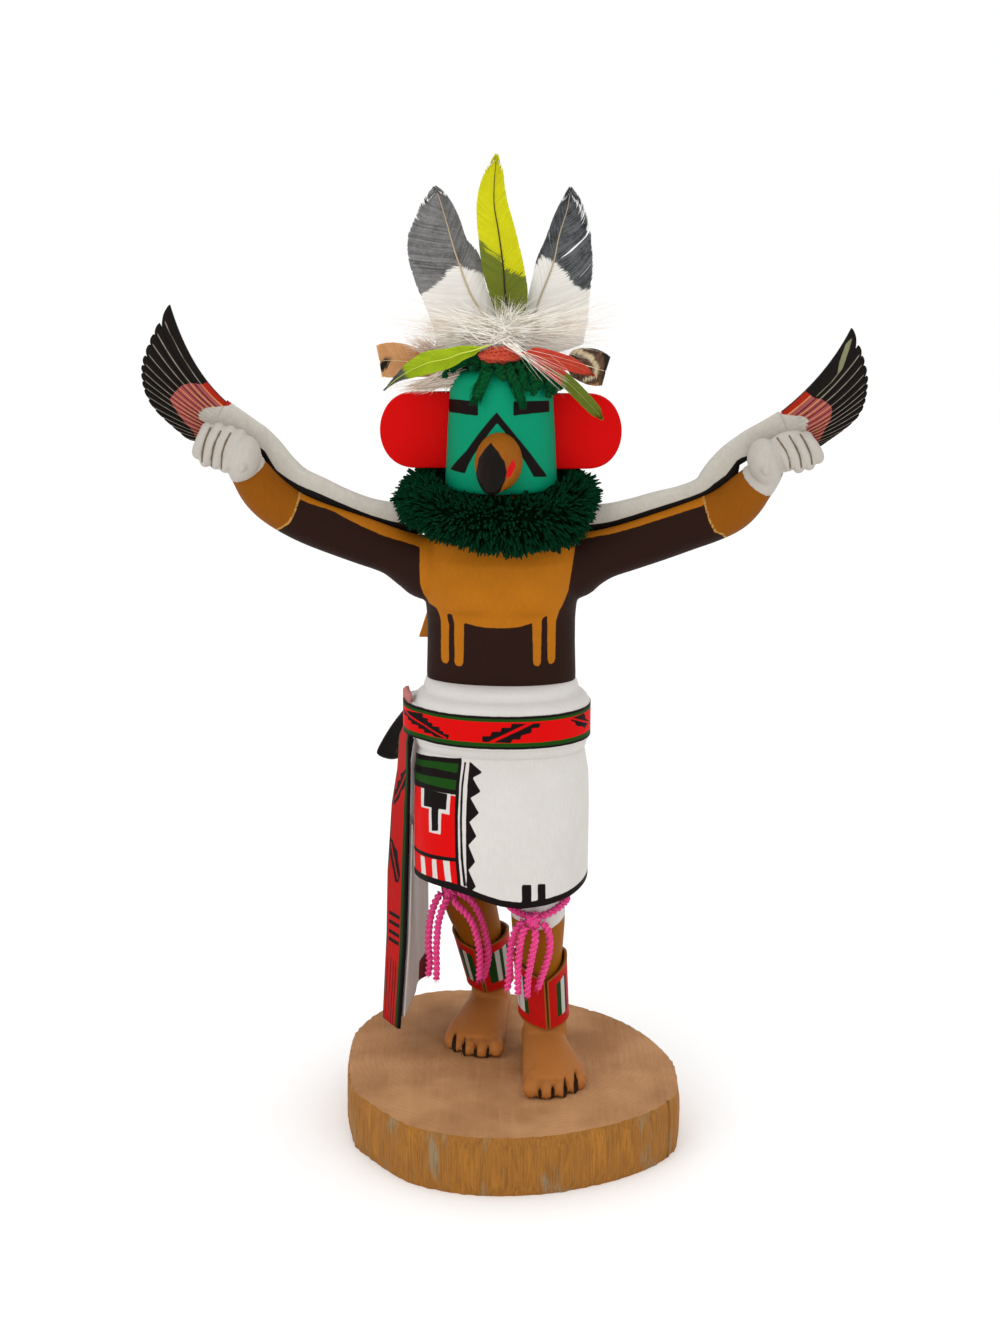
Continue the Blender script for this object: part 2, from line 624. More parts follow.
    for other, operation in ((grain, "ADD"), (saw, "ADD"),
                             (add("Math", (checks, 2.0), operation="MULTIPLY"), "SUBTRACT")):
        relief = add("Math", (relief, other), operation=operation)
    feed(shader, {"Base Color": glaze(add, sideTone, topTone, upward, 0.55, 0.75),
                  "Normal": add("Bump", {"Height": relief, "Strength": 1.0, "Distance": 0.35 * mm})})
    piece(item, "log wood", finish, "base_slab")
    print("log slice made")


# The figure: torso, raised arms and fists, carved as one
figure = {
    "voxel": 0.94, "swellings": (-18.5, 9.5),
    "torso": ((187, 31, 18.5), (196, 31.8, 19), (210, 31.4, 19.4), (220, 31.4, 20.2), (223.5, 31.6, 21.8),
        (229, 32.2, 24.2), (238, 32.8, 25), (247, 33, 24), (254, 31, 21), (260, 25, 17), (265, 18, 14.5),
        (272, 15.5, 14), (280, 15.5, 14)),
    "leftArm": ((16, 14, 240, 13.5), (31, 14, 242.5, 14.2), (38, 14, 245, 11.8), (46, 14, 248.8, 9.9),
        (58, 14, 253.2, 9.9), (70, 13.6, 257.6, 9.8), (80, 13.2, 261.6, 9.7), (88, 12.6, 265.8, 9.6),
        (95, 11, 271, 9.6), (99.8, 9, 276.3, 9.2), (103.2, 6.8, 282, 8.4), (106.2, 4.6, 287.5, 7.4),
        (107.5, 3.5, 290, 6.8)),
    "rightArm": ((16, 14, 240, 13.5), (30, 14, 242.8, 14.2), (37, 14, 245.4, 12), (44, 14, 247.8, 10.4),
        (54, 14, 250.8, 10), (66, 14, 254.9, 10), (78, 13.4, 259.4, 10), (88, 12.8, 263.4, 10.2),
        (95.5, 11.6, 267.4, 10.1), (100.6, 9.4, 272.4, 9.5), (104.6, 7, 277.6, 8.4), (107.8, 5, 282, 7.4),
        (110, 3.5, 286.5, 7)),
    "leftFist": {
        "thumb": (105.8, 290.6), "palm": (113.8, 295.2),
        "fingers": ((120.4, 303.2, 123.6, 294.4), (115.6, 303.2, 120.6, 291.2), (111, 302, 116.4, 290.2),
            (106.8, 300.6, 112.6, 288.8)),
    },
    "rightFist": {
        "thumb": (108.2, 289.2), "palm": (117.2, 293),
        "fingers": ((125.2, 299.6, 129.2, 292.4), (121, 299.4, 125.6, 289.8), (117.2, 298, 121.4, 288.6),
            (113.2, 296.6, 117, 290)),
    },
    "fistVoxel": 0.52, "wrist": 1.015, "thumbHalf": (7.3, 8, 9.6), "nailHalf": (1.9, 1.6, 2.3),
    "palmHalf": (10.9, 6.2, 8.0),
    "fingerLines": {
        "leftFist": (((110.2, 301.2), (112.3, 297), (113.6, 292.5), (114.2, 287)),
            ((114.2, 302), (116.4, 297.4), (117.6, 293), (118.3, 287.6)),
            ((118.4, 303.2), (120.2, 298.8), (121.4, 294.5), (122, 289.5))),
        "rightFist": (((112.8, 298.8), (115.4, 295), (117, 291.6), (118, 287.2)),
            ((117.6, 299.8), (119.8, 296), (121.4, 292.4), (122.4, 287.6)),
            ((122.2, 300.4), (124.2, 296.6), (125.8, 293), (126.6, 289))),
    },
    "chest": ((-38.5, 290), (-38.5, 262), (-38.3, 237.8), (-36.9, 232.3), (-34.8, 228.5), (-31.5, 227.2),
        (-30.2, 224.2), (-29.7, 220.7), (-29.8, 204.9), (-29.2, 203.7), (-28.2, 203.3), (-27.2, 203.5),
        (-26.5, 204.6), (-26.3, 220.2), (-27.1, 225.1), (-26, 225.6), (-25, 225.2), (-24.1, 221.7),
        (-24, 204.3), (-23.4, 203.1), (-22.2, 202.7), (-21, 203.1), (-20.3, 204.6), (-20, 222.2),
        (-15.5, 221), (-10.7, 220.3), (-4.3, 220.2), (2, 220.6), (8.4, 222.4), (8.9, 205.2), (9.4, 203.9),
        (10.5, 203.3), (11.6, 203.7), (12.1, 204.9), (12.3, 223.1), (12.9, 224.5), (13.8, 225),
        (14.6, 225.2), (14.9, 206), (15.5, 204.4), (16.5, 203.9), (17.5, 204.5), (18.1, 206), (18.3, 222.3),
        (19.5, 226.8), (22.2, 231.9), (23.5, 235.4), (25.1, 246.1), (26.8, 254.6), (27.4, 262),
        (27.4, 290)),
    "armTops": ((-88, 272.1), (-83.1, 269.8), (-75.9, 267.4), (-62.4, 260.6), (-53.4, 256.7),
        (-40.6, 252.8), (-36.2, 251.7), (-36.2, 290), (27, 290), (27.5, 255), (32.6, 255.6), (41.4, 257.2),
        (52, 260.2), (67.8, 265.6), (75.1, 268.1), (79.6, 269.8), (79.6, 290), (-88, 290)),
    "forearms": (((-88.5, 275), (-88.7, 272.2), (-90.7, 266.5), (-92.9, 262.9), (-97.6, 259.6), (-106, 250),
        (-140, 250), (-140, 310), (-88, 310)), ((79.7, 275), (80.3, 269.9), (82.1, 264), (84.6, 259.2),
        (87.8, 257.9), (96, 248), (140, 250), (140, 310), (80, 310))),
    "hands": (((-103.5, 288.4), (-104.1, 285.8), (-106.1, 283.2), (-110.2, 281.6), (-115.1, 281.2),
        (-140, 280), (-140, 320), (-100, 320), (-100, 293)), ((97, 286.1), (97.2, 283.6), (99, 281.3),
        (103.4, 280), (108.4, 280.2), (140, 279), (140, 320), (95, 320), (95, 291))),
    "brown": "#25120b", "ochre": "#a8640f", "forearm": "#854b07", "line": "#b08040", "white": "#b3ada5",
    "crease": "#6e604e",
}


def buildFigure():
    parts = [stackForm("torso", figure["torso"], 96, 2.2, 1.0)]
    for side, arm in ((-1, "leftArm"), (1, "rightArm")):
        parts.append(limbForm(arm, [(bodyX + side * a, y, z, r) for a, y, z, r in figure[arm]], 40, 4))
    body = joined("carvedTorso", parts)
    carve(body, figure["voxel"], 2)
    p = pointsOf(body)
    x, y, z = p.T
    # Two shallow swellings on the chest with a soft hollow between and under them
    front = np.clip((10 - y) / 8, 0, 1)
    for middle in figure["swellings"]:
        swell = np.exp(-((x - middle) / 11) ** 2 - ((z - 236) / 9.5) ** 2)
        p[:, 1] -= 2.2 * swell * front
        p[:, 1] += 1.5 * np.exp(-((x - middle) / 9) ** 2 - ((z - 224.5) / 2.4) ** 2) * front
    p[:, 1] += 0.7 * np.exp(-((x + 4.5) / 4) ** 2 - ((z - 238) / 12) ** 2) * front
    setPoints(body, p)
    forearms = anyOf(*(area(shape, x, z) for shape in figure["forearms"]))
    setLayer(body, "ochreArea", anyOf(area(figure["chest"], x, z), area(figure["armTops"], x, z)))
    setLayer(body, "forearmArea", forearms)
    setLayer(body, "cuffLine", 0.45 - np.abs(forearms + 0.2))
    setLayer(body, "handArea", anyOf(*(area(shape, x, z) for shape in figure["hands"])))
    # Matt acrylic on cottonwood root, brushed along the limbs
    finish = woodPaint("bodyPaintOnRoot", figure["brown"],
                       (("ochreArea", figure["ochre"]), ("forearmArea", figure["forearm"]),
                        ("cuffLine", figure["line"]), ("handArea", figure["white"])), depth=0.06)
    piece(body, "painted wood", finish, "carved_figure")
    print("torso and arms made")


# The fists, carved finer than the rest: a knuckled ball, four fingers and thin cuts between them
def buildFists():
    parts = []
    for side, arm, fist in ((-1, "leftArm", "leftFist"), (1, "rightArm", "rightFist")):
        shape, deg = figure[fist], math.radians
        low = figure[arm][-3]
        stub = [(a, y, z, r * figure["wrist"] + 0.08) for a, y, z, r in figure[arm][-3:]]
        stub[0] = tuple(low[k] + (figure[arm][-2][k] - low[k]) * 0.45 for k in range(3)) + (stub[0][3] - 0.4,)
        parts.append(limbForm("wrist", [(bodyX + side * a, y, z, r) for a, y, z, r in stub], 40, 4))
        ox, oz = shape["thumb"]
        px, pz = shape["palm"]
        parts.append(ballForm((bodyX + side * ox, -1.2, oz), figure["thumbHalf"], side * deg(-14)))
        parts.append(ballForm((bodyX + side * (ox - 0.3), -8.8, oz - 2.4), figure["nailHalf"]))
        parts.append(ballForm((bodyX + side * px, 0.6, pz), figure["palmHalf"], side * deg(-28)))
        for topX, topZ, tipX, tipZ in shape["fingers"]:
            middle = ((topX + tipX) / 2 - 0.5, (topZ + tipZ) / 2 + 0.3)
            route = ((topX, 4, topZ - 3, 1.4), (topX, 1.4, topZ - 0.9, 2.5), (topX, -3, topZ - 1.4, 2.5),
                     (middle[0], -5.7, middle[1], 2.6), (tipX, -5.4, tipZ - 0.4, 2.5),
                     (tipX, -3.6, tipZ - 1.8, 2.0), (tipX - 0.6, -0.6, tipZ + 0.4, 1.4))
            parts.append(limbForm("finger", [(bodyX + side * a, y, z, r) for a, y, z, r in route], 24, 6))
    item = joined("carvedFists", parts)
    carve(item, figure["fistVoxel"], 3)
    p = pointsOf(item)
    cuts = [stroke([(bodyX + side * a, b) for a, b in smoothLine(line, 6)], 0.75, p[:, 0], p[:, 2])
            for side, fist in ((-1, "leftFist"), (1, "rightFist")) for line in figure["fingerLines"][fist]]
    cuts = np.where(p[:, 1] < -1.5, anyOf(*cuts), -9.0)
    p[:, 1] += 0.8 * np.clip((cuts + 0.5) / 0.8, 0, 1)
    setPoints(item, p)
    setLayer(item, "fingerCut", cuts)
    # White acrylic with a faint carved texture, the wood showing brown in the cuts
    finish = woodPaint("fistPaintOnRoot", figure["white"], (("fingerCut", figure["crease"]),), depth=0.08,
                       mottle=0.1)
    piece(item, "painted wood", finish, "carved_figure")
    print("fists made")


# The cylinder mask with its painted face
mask = {
    "sections": ((276.5, 22.9), (278, 23.4), (297, 22.5), (316, 21.4), (319.5, 20.9), (322.6, 19.6),
        (324.8, 17.4), (325.9, 14.0)),
    "eyes": (((-93.7, 313.1), (-53.6, 314.3), (-38.9, 314.3), (-26.1, 314.2), (-25.3, 308.5),
        (-38.3, 308.6), (-52.6, 308.7), (-79.5, 308.1)), ((13.2, 314.6), (23.1, 314.4), (39.3, 314.2),
        (65.7, 313.4), (65.6, 308.8), (38.7, 309.2), (22.8, 309.0), (13.0, 308.7))),
    "chevron": ((-4.8, 310.2), (-13.5, 306.5), (-22.1, 302.4), (-30.5, 298.2), (-39.1, 293.9),
        (-51.1, 289.7), (-66.2, 285.1), (-40.1, 284.6), (-35.4, 288.6), (-29.1, 292.8), (-22.7, 296.2),
        (-16.2, 299.9), (-10.4, 302.9), (-4.3, 305.8), (2.9, 302.6), (8.5, 299.3), (15.0, 295.6),
        (21.9, 291.9), (28.7, 287.7), (35.0, 283.4), (55.6, 282.5), (41.5, 288.3), (30.0, 293.9),
        (21.1, 298.0), (12.3, 302.2), (3.8, 306.2)),
    "turquoise": "#008a64", "black": "#120a09", "arc": 0.393, "sides": 224, "step": 0.7, "soften": 0.35,
}


def buildMask():
    sections = [(z, r, r) for z, r in mask["sections"]]
    item = stackForm("cylinderMask", sections, mask["sides"], 2.0, mask["step"], mask["soften"])
    p = pointsOf(item)
    u, z = angleOf(p) * mask["arc"], p[:, 2]
    shapes = [area(scaled(shape, mask["arc"]), u, z) for shape in (*mask["eyes"], mask["chevron"])]
    setLayer(item, "faceLines", anyOf(*shapes))
    # Turquoise acrylic on the turned root, brushed round and a little streaky
    finish = woodPaint("turquoisePaint", mask["turquoise"], (("faceLines", mask["black"]),),
                       streak=(1, 1, 0.2), roughness=0.55, depth=0.05, mottle=0.1, waver=0.12)
    piece(item, "painted wood", finish, "carved_figure")
    print("mask made")


# Waist rolls, belt and kilt
kilt = {
    "sections": ((195, 31.3, 19.6), (194.5, 31.9, 21), (193.6, 32.3, 22.6), (192.5, 32.7, 23.6),
        (191, 33.1, 24.3), (190.2, 33.1, 24.3), (189.8, 32.9, 24), (189.3, 33.8, 25), (188.2, 35.4, 26.8),
        (186.6, 36.9, 28.1), (185, 37.5, 28.7), (184.6, 38.3, 29.4), (169.6, 38.3, 29.4),
        (169.2, 37.4, 27.6), (168.2, 37.1, 27.1), (167.8, 36.6, 26.6), (167.4, 36.9, 26.8),
        (165.0, 36.1, 25.1), (164.4, 35.3, 24.1), (163.8, 35.8, 24.5), (162.2, 36.2, 24.8),
        (153, 37.6, 28, -0.3), (138, 37.9, 32, -0.6), (120, 37.8, 35.4, -1.2), (104.5, 37.6, 38, -1.6)),
    "sides": 392, "power": 2.15, "step": 0.62, "soften": 0.15, "arc": 0.64, "hemWidth": 2.7,
    "hangsFrom": 160, "hangsBy": 55.5, "strap": 4.4, "sideRoll": 3.4,
    "beltBands": (("beltBlack", 177.5, 7.1), ("beltGreen", 177.45, 6.0), ("beltRed", 177.7, 4.5)),
    "motifPlaces": ((0, 0), (0, 1), (0, 2), (142, 1), (213, 0), (72, 2)), "panelRedTop": 149,
    "motifs": (((-78, 181.4), (-65.2, 182.2), (-65.2, 180.5), (-60.3, 180.6), (-60.4, 179.1),
        (-56.1, 179.1), (-56.1, 177.8), (-50, 178), (-50, 176.6), (-46.7, 176.4), (-46.7, 175.4),
        (-42, 175.4), (-42.8, 173.4), (-54.6, 173.4), (-57.2, 174.4), (-64.5, 173.9), (-64.4, 175.3),
        (-68.8, 175.1), (-68.8, 176.4), (-74.9, 176.2), (-74.8, 177.4), (-79.3, 177.4), (-79.2, 178.6),
        (-86, 178.5), (-86, 180.5)), ((-15.4, 173.6), (-15.8, 176.1), (-8.5, 176.1), (-8, 178.1),
        (-0.4, 178.2), (0.1, 179.9), (7.9, 179.9), (8.2, 181.6), (30.2, 181.4), (29.9, 179.6),
        (23.9, 179.4), (23.7, 177.5), (15.7, 176.4), (15.4, 174.7), (9, 174.9), (7.9, 173.3)),
        ((54.5, 181.7), (54.5, 180.3), (57.7, 179.6), (58.6, 178.3), (61.3, 177.2), (66, 176.6),
        (68.9, 175.2), (71, 176.1), (77.1, 176.1), (77.1, 177.2), (74, 178), (70, 179.6), (69.8, 180.7),
        (67.7, 182.1))),
    "motifLines": (((-84, 180.8), (-45, 173.8), 0.8), ((-9, 173.4), (24, 181.8), 1.3),
        ((55, 181.5), (76, 176.5), 0.8)),
    "panel": ((-89, 160.3), (-38.5, 163.5), (-34.6, 150.4), (-31.8, 136.9), (-29, 124.7), (-25.7, 113.6),
        (-25, 108), (-75, 108), (-78.6, 120), (-81.8, 149)),
    "panelBlack": (((-89.3, 161.2), (-62, 163.3), (-38.1, 164.3), (-38.6, 162), (-62, 161.3), (-89, 158.9)),
        ((-88, 156.6), (-60, 158.6), (-37.2, 158.2), (-36.6, 155.4), (-56.2, 155.3), (-86.4, 153.6)),
        ((-84, 150.8), (-60, 151.6), (-35.3, 151.4), (-34.9, 149.6), (-60, 149.8), (-81.8, 147.9)),
        ((-40.5, 163.2), (-37.2, 150.3), (-33.9, 136.8), (-31, 124.6), (-27.8, 112.5), (-25.3, 112.5),
        (-28.7, 124.7), (-31.5, 136.9), (-34.3, 150.4), (-37.9, 163.9)),
        ((-80, 121.4), (-30.3, 124), (-30, 122.4), (-79.9, 119.6)), ((-65.5, 149.5), (-63.2, 141.9),
        (-55.1, 142.4), (-52.2, 132.8), (-46.5, 133.5), (-48.7, 142.7), (-42.3, 142.9), (-43.7, 149.4))),
    "panelGreen": ((-89, 160.3), (-38.5, 163.5), (-34.6, 150.4), (-35, 149.6), (-82, 148.6)),
    "panelWhite": (((-69.1, 149), (-66.3, 141), (-57.3, 141.6), (-54.7, 131.9), (-44.1, 132.3),
        (-45.8, 141.2), (-39.2, 141.2), (-41, 149.6)),
        ((-63, 120.2), (-57.5, 120.4), (-53.5, 111), (-59.9, 111)),
        ((-49.5, 121), (-45.6, 121.4), (-42.4, 112), (-46.9, 112)),
        ((-40, 122), (-35, 122.4), (-31.9, 113), (-36, 112.6))),
    "thinLineWidth": 1.1,
    "thinLine": ((-34.4, 162.5), (-32.7, 153.3), (-29.2, 137.1), (-26.5, 124.9), (-23, 113.2)),
    "saw": ((-29.9, 163.2), (-17.5, 159.2), (-25.2, 157), (-17, 151.7), (-24.6, 148.9), (-17, 143.1),
        (-23.3, 139.2), (-17.5, 133.6), (-22.6, 129.8), (-17.2, 123.1), (-21.2, 119.6), (-15.8, 112.9),
        (-17.9, 111.4), (-21.3, 111.6), (-23.4, 123.8), (-25.7, 137.4), (-28, 150.8), (-30.7, 163.2)),
    "hem": ((-180, 107.2), (-110, 108.5), (-90, 111), (-75, 112), (-51.5, 113.2), (-34, 113.6),
        (-25, 112.9), (-17.9, 111.4), (-9, 109.4), (0, 107.6), (12.1, 106.4), (28.3, 106.7), (45.7, 107.6),
        (62.1, 109), (81.8, 110.2), (105, 109.4), (180, 107.2)),
    "bars": (((13.1, 113.8), (19.2, 113.4), (18.6, 105), (12.6, 105)),
        ((23.3, 113.5), (28.6, 113), (27.9, 105), (22.7, 105))),
    "white": "#cac6c1", "red": "#cb0202", "green": "#15400a", "black": "#120a0a",
}


def buildKilt():
    rows = sorted(tuple(row) + (0,) * (4 - len(row)) for row in kilt["sections"])
    rings = []
    for z, w, d, shift in spreadSections(rows, kilt["step"], kilt["soften"]):
        ring = ovalRing((bodyX, bodyY + shift, z), bodyAcross, bodyBack, w, d, kilt["sides"], kilt["power"])
        turn = angleOf(ring)
        lift = between(turn, kilt["hem"]) - kilt["hemWidth"] - kilt["sections"][-1][0]
        ring[:, 2] += lift * max(0.0, (kilt["hangsFrom"] - z) / kilt["hangsBy"])
        rings.append(ring)
    item = loft("kiltAndBelt", rings)
    p = pointsOf(item)
    arc, turn, z = kilt["arc"], angleOf(p), p[:, 2]
    u = turn * arc
    motifs, lines = [], []
    for shift, index in kilt["motifPlaces"]:
        local = ((turn - shift + 180) % 360 - 180) * arc
        motifs.append(area(scaled(kilt["motifs"][index], arc), local, z))
        (a, b), (c, d), wide = kilt["motifLines"][index]
        lines.append(stroke([(a * arc, b), (c * arc, d)], wide, local, z))
    for label, middle, half in kilt["beltBands"]:
        band = half - np.abs(z - middle)
        setLayer(item, label, band)
    # The last band, the red one, holds the motifs
    setLayer(item, "beltMotifs", np.minimum(anyOf(*motifs), band))
    setLayer(item, "beltLines", np.minimum(anyOf(*lines), band))
    setLayer(item, "panelGreen", area(scaled(kilt["panelGreen"], arc), u, z))
    setLayer(item, "panelRed", np.minimum(area(scaled(kilt["panel"], arc), u, z), kilt["panelRedTop"] - z))
    setLayer(item, "panelWhite", anyOf(*(area(scaled(s, arc), u, z) for s in kilt["panelWhite"])))
    black = [area(scaled(s, arc), u, z) for s in (*kilt["panelBlack"], kilt["saw"], *kilt["bars"])]
    black.append(stroke(scaled(kilt["thinLine"], arc), kilt["thinLineWidth"], u, z))
    setLayer(item, "blackLines", anyOf(between(turn, kilt["hem"]) - z, *black))
    # The belt passes over the sash at the viewer's left, and the cloth swells a little behind the panel
    strap = np.interp(turn, (-132, -104, -90, -77, -64), (0, 1, 0.85, 0.55, 0)) * (np.abs(z - 177.5) < 7.05)
    swell = np.exp(-((turn + 106) / 10) ** 2) * np.clip((z - 112) / 20, 0, 1) * np.clip((170.5 - z) / 3, 0, 1)
    p[:, 0] -= kilt["strap"] * strap + kilt["sideRoll"] * swell
    setPoints(item, p)
    # Matt acrylic over carved root wood: the cloth is wood, its white brushed on thickly
    finish = woodPaint("kiltPaintOnRoot", kilt["white"],
                       (("panelGreen", kilt["green"]), ("panelRed", kilt["red"]), ("panelWhite", kilt["white"]),
                        ("blackLines", kilt["black"]), ("beltBlack", kilt["black"]),
                        ("beltGreen", kilt["green"]), ("beltRed", kilt["red"]), ("beltMotifs", kilt["black"]),
                        ("beltLines", kilt["red"])),
                       streak=(1, 1, 0.15), depth=0.06, mottle=0.07, waver=0.15)
    piece(item, "painted wood", finish, "carved_figure")
    print("kilt and belt made")


# Legs and feet
legs = {
    "voxel": 0.88,
    "front": ((9.6, 3, 120, 13), (11.3, 1, 95, 11.8), (11.6, 1.2, 84, 11.2), (12.4, 2.2, 72, 9.6),
        (12.8, 2.8, 66, 9.1), (13.7, 4, 54, 8.9), (14.6, 5, 44, 9.2), (15, 5.2, 34, 9.7)),
    "back": ((-20.5, 23, 120, 13), (-19.2, 30, 95, 12.1), (-17.8, 33.2, 84, 11.4), (-15.2, 35.9, 75, 10.2),
        (-13.8, 37.5, 69, 9.5), (-11.6, 41, 56, 8.2), (-10, 43.7, 46, 7.9), (-9.6, 46.4, 34, 8.8)),
    "feet": (((13.5, 19), (0.035, -0.9994), (0.9994, 0.035)),
        ((-8.4, 61), (-0.095, -0.9955), (-0.9955, 0.095))),
    "footSections": ((0, 4.5, 0, 8.5), (3, 8.2, 0, 13), (9, 9.4, 0, 15), (20, 9.9, 0.6, 13.2),
        (30, 11.7, 1.9, 11.2), (40, 13.1, 2.9, 9.6), (49, 13.8, 3.2, 8), (54, 12.6, 2.6, 6.8)),
    "toes": ((64.4, -7.6, 3.5), (65, -1.3, 3), (63.2, 4.6, 2.95), (58.8, 9.8, 2.65), (54.2, 14.2, 2.4)),
    "sole": 26.0, "backLegY": 22, "backBand": 101, "footTop": 55, "skin": "#8b520d", "foot": "#a26530",
    "gap": "#2b180a", "white": "#c6c2bd",
    "kneeBand": ((-40, 101), (-6, 101), (-3, 96), (0.2, 92), (3.6, 91.8), (9.8, 89.3), (16.6, 88.8),
        (20.8, 90.9), (23, 92.4), (40, 94)),
}


def buildLegs():
    parts = [limbForm("frontLeg", legs["front"], 40, 5), limbForm("backLeg", legs["back"], 40, 5)]
    sole = legs["sole"]
    for heel, forward, outer in legs["feet"]:
        heel = np.array((*heel, sole))
        forward, outer, up = np.array((*forward, 0)), np.array((*outer, 0)), np.array((0, 0, 1))
        rings = [ovalRing(heel + forward * reach + outer * shift + up * (instep - 3) / 2, outer, up, half,
                          (instep + 3) / 2, 40, 2.3) for reach, half, shift, instep in legs["footSections"]]
        parts.append(loft("foot", rings))
        for reach, place, radius in legs["toes"]:
            start = heel + forward * (reach - 16) + outer * (place * 0.86) + up * (radius + 1.4)
            end = heel + forward * (reach - radius) + outer * place + up * (radius - 0.4)
            route = [(*(start + (end - start) * t), radius * k)
                     for t, k in ((0, 0.8), (0.5, 0.86), (0.8, 1), (1, 0.94))]
            route.append((*(end + forward * (radius * 0.7)), radius * 0.5))
            parts.append(limbForm("toe", route, 20, 4))
    item = joined("legsAndFeet", parts)
    carve(item, legs["voxel"], 2)
    only(item)
    bpy.ops.object.mode_set(mode="EDIT")
    bpy.ops.mesh.select_all(action="SELECT")
    bpy.ops.mesh.bisect(plane_co=(0, 0, (sole + 0.05) * mm), plane_no=(0, 0, 1), clear_inner=True,
                        use_fill=True)
    bpy.ops.object.mode_set(mode="OBJECT")
    p = pointsOf(item)
    # Toenails: shallow ovals cut round on top of each toe
    nails = np.full(len(p), -1e3)
    for heel, forward, outer in legs["feet"]:
        base = np.array(heel)
        for reach, place, radius in legs["toes"]:
            spot = base + np.array(forward) * (reach - radius * 0.55) + np.array(outer) * place
            along = (p[:, :2] - spot) @ np.array(forward)
            side = (p[:, :2] - spot) @ np.array(outer)
            high = np.clip((p[:, 2] - sole - radius * 0.75) * 2, 0, 1)
            oval = np.hypot(along / (radius * 0.62), side / (radius * 0.58))
            nails = np.maximum(nails, 1 - oval - (1 - high))
    p[:, 2] -= 0.35 * np.clip(1 - np.abs(nails) * 5, 0, 1) * (nails > -0.3)
    # Cuts between the toes
    gaps = np.full(len(p), -9.0)
    for heel, forward, outer in legs["feet"]:
        along = (p[:, :2] - np.array(heel)) @ np.array(forward)
        across = (p[:, :2] - np.array(heel)) @ np.array(outer)
        for (reachA, placeA, radiusA), (reachB, placeB, radiusB) in zip(legs["toes"], legs["toes"][1:]):
            edge = (placeA + radiusA + placeB - radiusB) / 2
            tip = min(reachA, reachB)
            wedge = [(tip - 5.2, edge * 0.95), (tip + 6, edge + 1.6), (tip + 6, edge - 1.6)]
            cut = area(wedge, along, across) + 0.22
            gaps = np.maximum(gaps, np.where(p[:, 2] < 42, cut, -9.0))
    depth = np.clip((gaps + 0.45) / 0.9, 0, 1)
    p[:, 2] = np.maximum(p[:, 2] - 2.4 * depth, np.minimum(p[:, 2], sole + 0.1))
    setLayer(item, "toeGap", gaps)
    setPoints(item, p)
    band = p[:, 2] - between(p[:, 0], legs["kneeBand"])
    setLayer(item, "kneeBand", np.where(p[:, 1] > legs["backLegY"], p[:, 2] - legs["backBand"], band))
    setLayer(item, "footArea", legs["footTop"] - p[:, 2])
    # Ochre acrylic, the feet paler and a little glossier
    finish = woodPaint("legPaintOnRoot", legs["skin"], (("footArea", legs["foot"]), ("kneeBand", legs["white"]),
                                                        ("toeGap", legs["gap"])),
                       roughness=0.5)
    piece(item, "painted wood", finish, "carved_figure")
    print("legs and feet made")


# The beak, painted with a black tip and a red mouth line
beak = {
    "sections": ((-5, -5.5, 290.7, 8.8, 11.2), (-5.4, -9.5, 290.4, 9.6, 11.7),
        (-6, -13.5, 289.6, 9.4, 11.4), (-6.8, -17.5, 288, 8.4, 10.2), (-7.6, -21, 285.9, 7, 8.2),
        (-8.1, -24, 283.2, 5.2, 6), (-8.3, -25.6, 281, 3.4, 3.8), (-8.3, -26.2, 279.8, 1.6, 1.8)),
    "tip": ((-8.6, 299.3), (-11.2, 296.8), (-13.5, 293.4), (-14.4, 288.4), (-15.5, 284), (-15, 276),
        (-9, 274), (-5.6, 279), (-3.1, 284.8), (-2.1, 288), (-3.1, 292.5), (-6, 296.6)),
    "mouth": ((0.5, 293.2), (-2, 290), (-2.7, 285.8), (-0.6, 286.2), (1.4, 289.8)), "tipFrom": -13.5,
    "mouthFrom": -8, "brown": "#93540e", "black": "#140e0c", "red": "#c80c10",
}


def buildBeak():
    line = smoothLine(beak["sections"], 10)
    rings = []
    for i, row in enumerate(line):
        along = unit(line[min(i + 1, len(line) - 1)][:3] - line[max(i - 1, 0)][:3])
        across = unit(np.cross(along, (0, 0, 1)))
        halfAcross, halfOver = max(row[3], 0.4), max(row[4], 0.5)
        rings.append(ovalRing(row[:3], across, np.cross(across, along), halfAcross, halfOver, 120))
    item = loft("carvedBeak", rings)
    p = pointsOf(item)
    x, y, z = p.T
    tip = np.minimum(area(beak["tip"], x, z), beak["tipFrom"] - y)
    mouth = np.minimum(area(beak["mouth"], x, z), beak["mouthFrom"] - y)
    p += (np.array((-6, -12, 289)) - p) * (0.035 * np.clip(mouth + 0.4, 0, 1))[:, None]
    setPoints(item, p)
    setLayer(item, "tipArea", tip)
    setLayer(item, "mouthArea", mouth)
    # Acrylic on the carved beak, a little smoother than the body
    finish = woodPaint("beakPaint", beak["brown"], (("tipArea", beak["black"]), ("mouthArea", beak["red"])),
                       roughness=0.45, mottle=0.25)
    piece(item, "ochre paint", finish, "beak")
    print("beak made")


# Flat boards: the two red tabs beside the mask and the ochre board behind the torso
boards = {
    "tabs": (("left", -20.0, -54.8, 284.4, 316.0), ("right", 12.0, 45.5, 284.0, 315.2)), "tabY": 14.0,
    "thickness": 4.6, "bevel": 0.6,
    "panel": ((-40.3, 35, 206.7), (23.5, 35, 206.7), (9, 41.8, 250), (-26, 41.8, 250)),
    "panelThickness": 3.0, "red": "#c70101", "ochre": "#ad6a20",
}


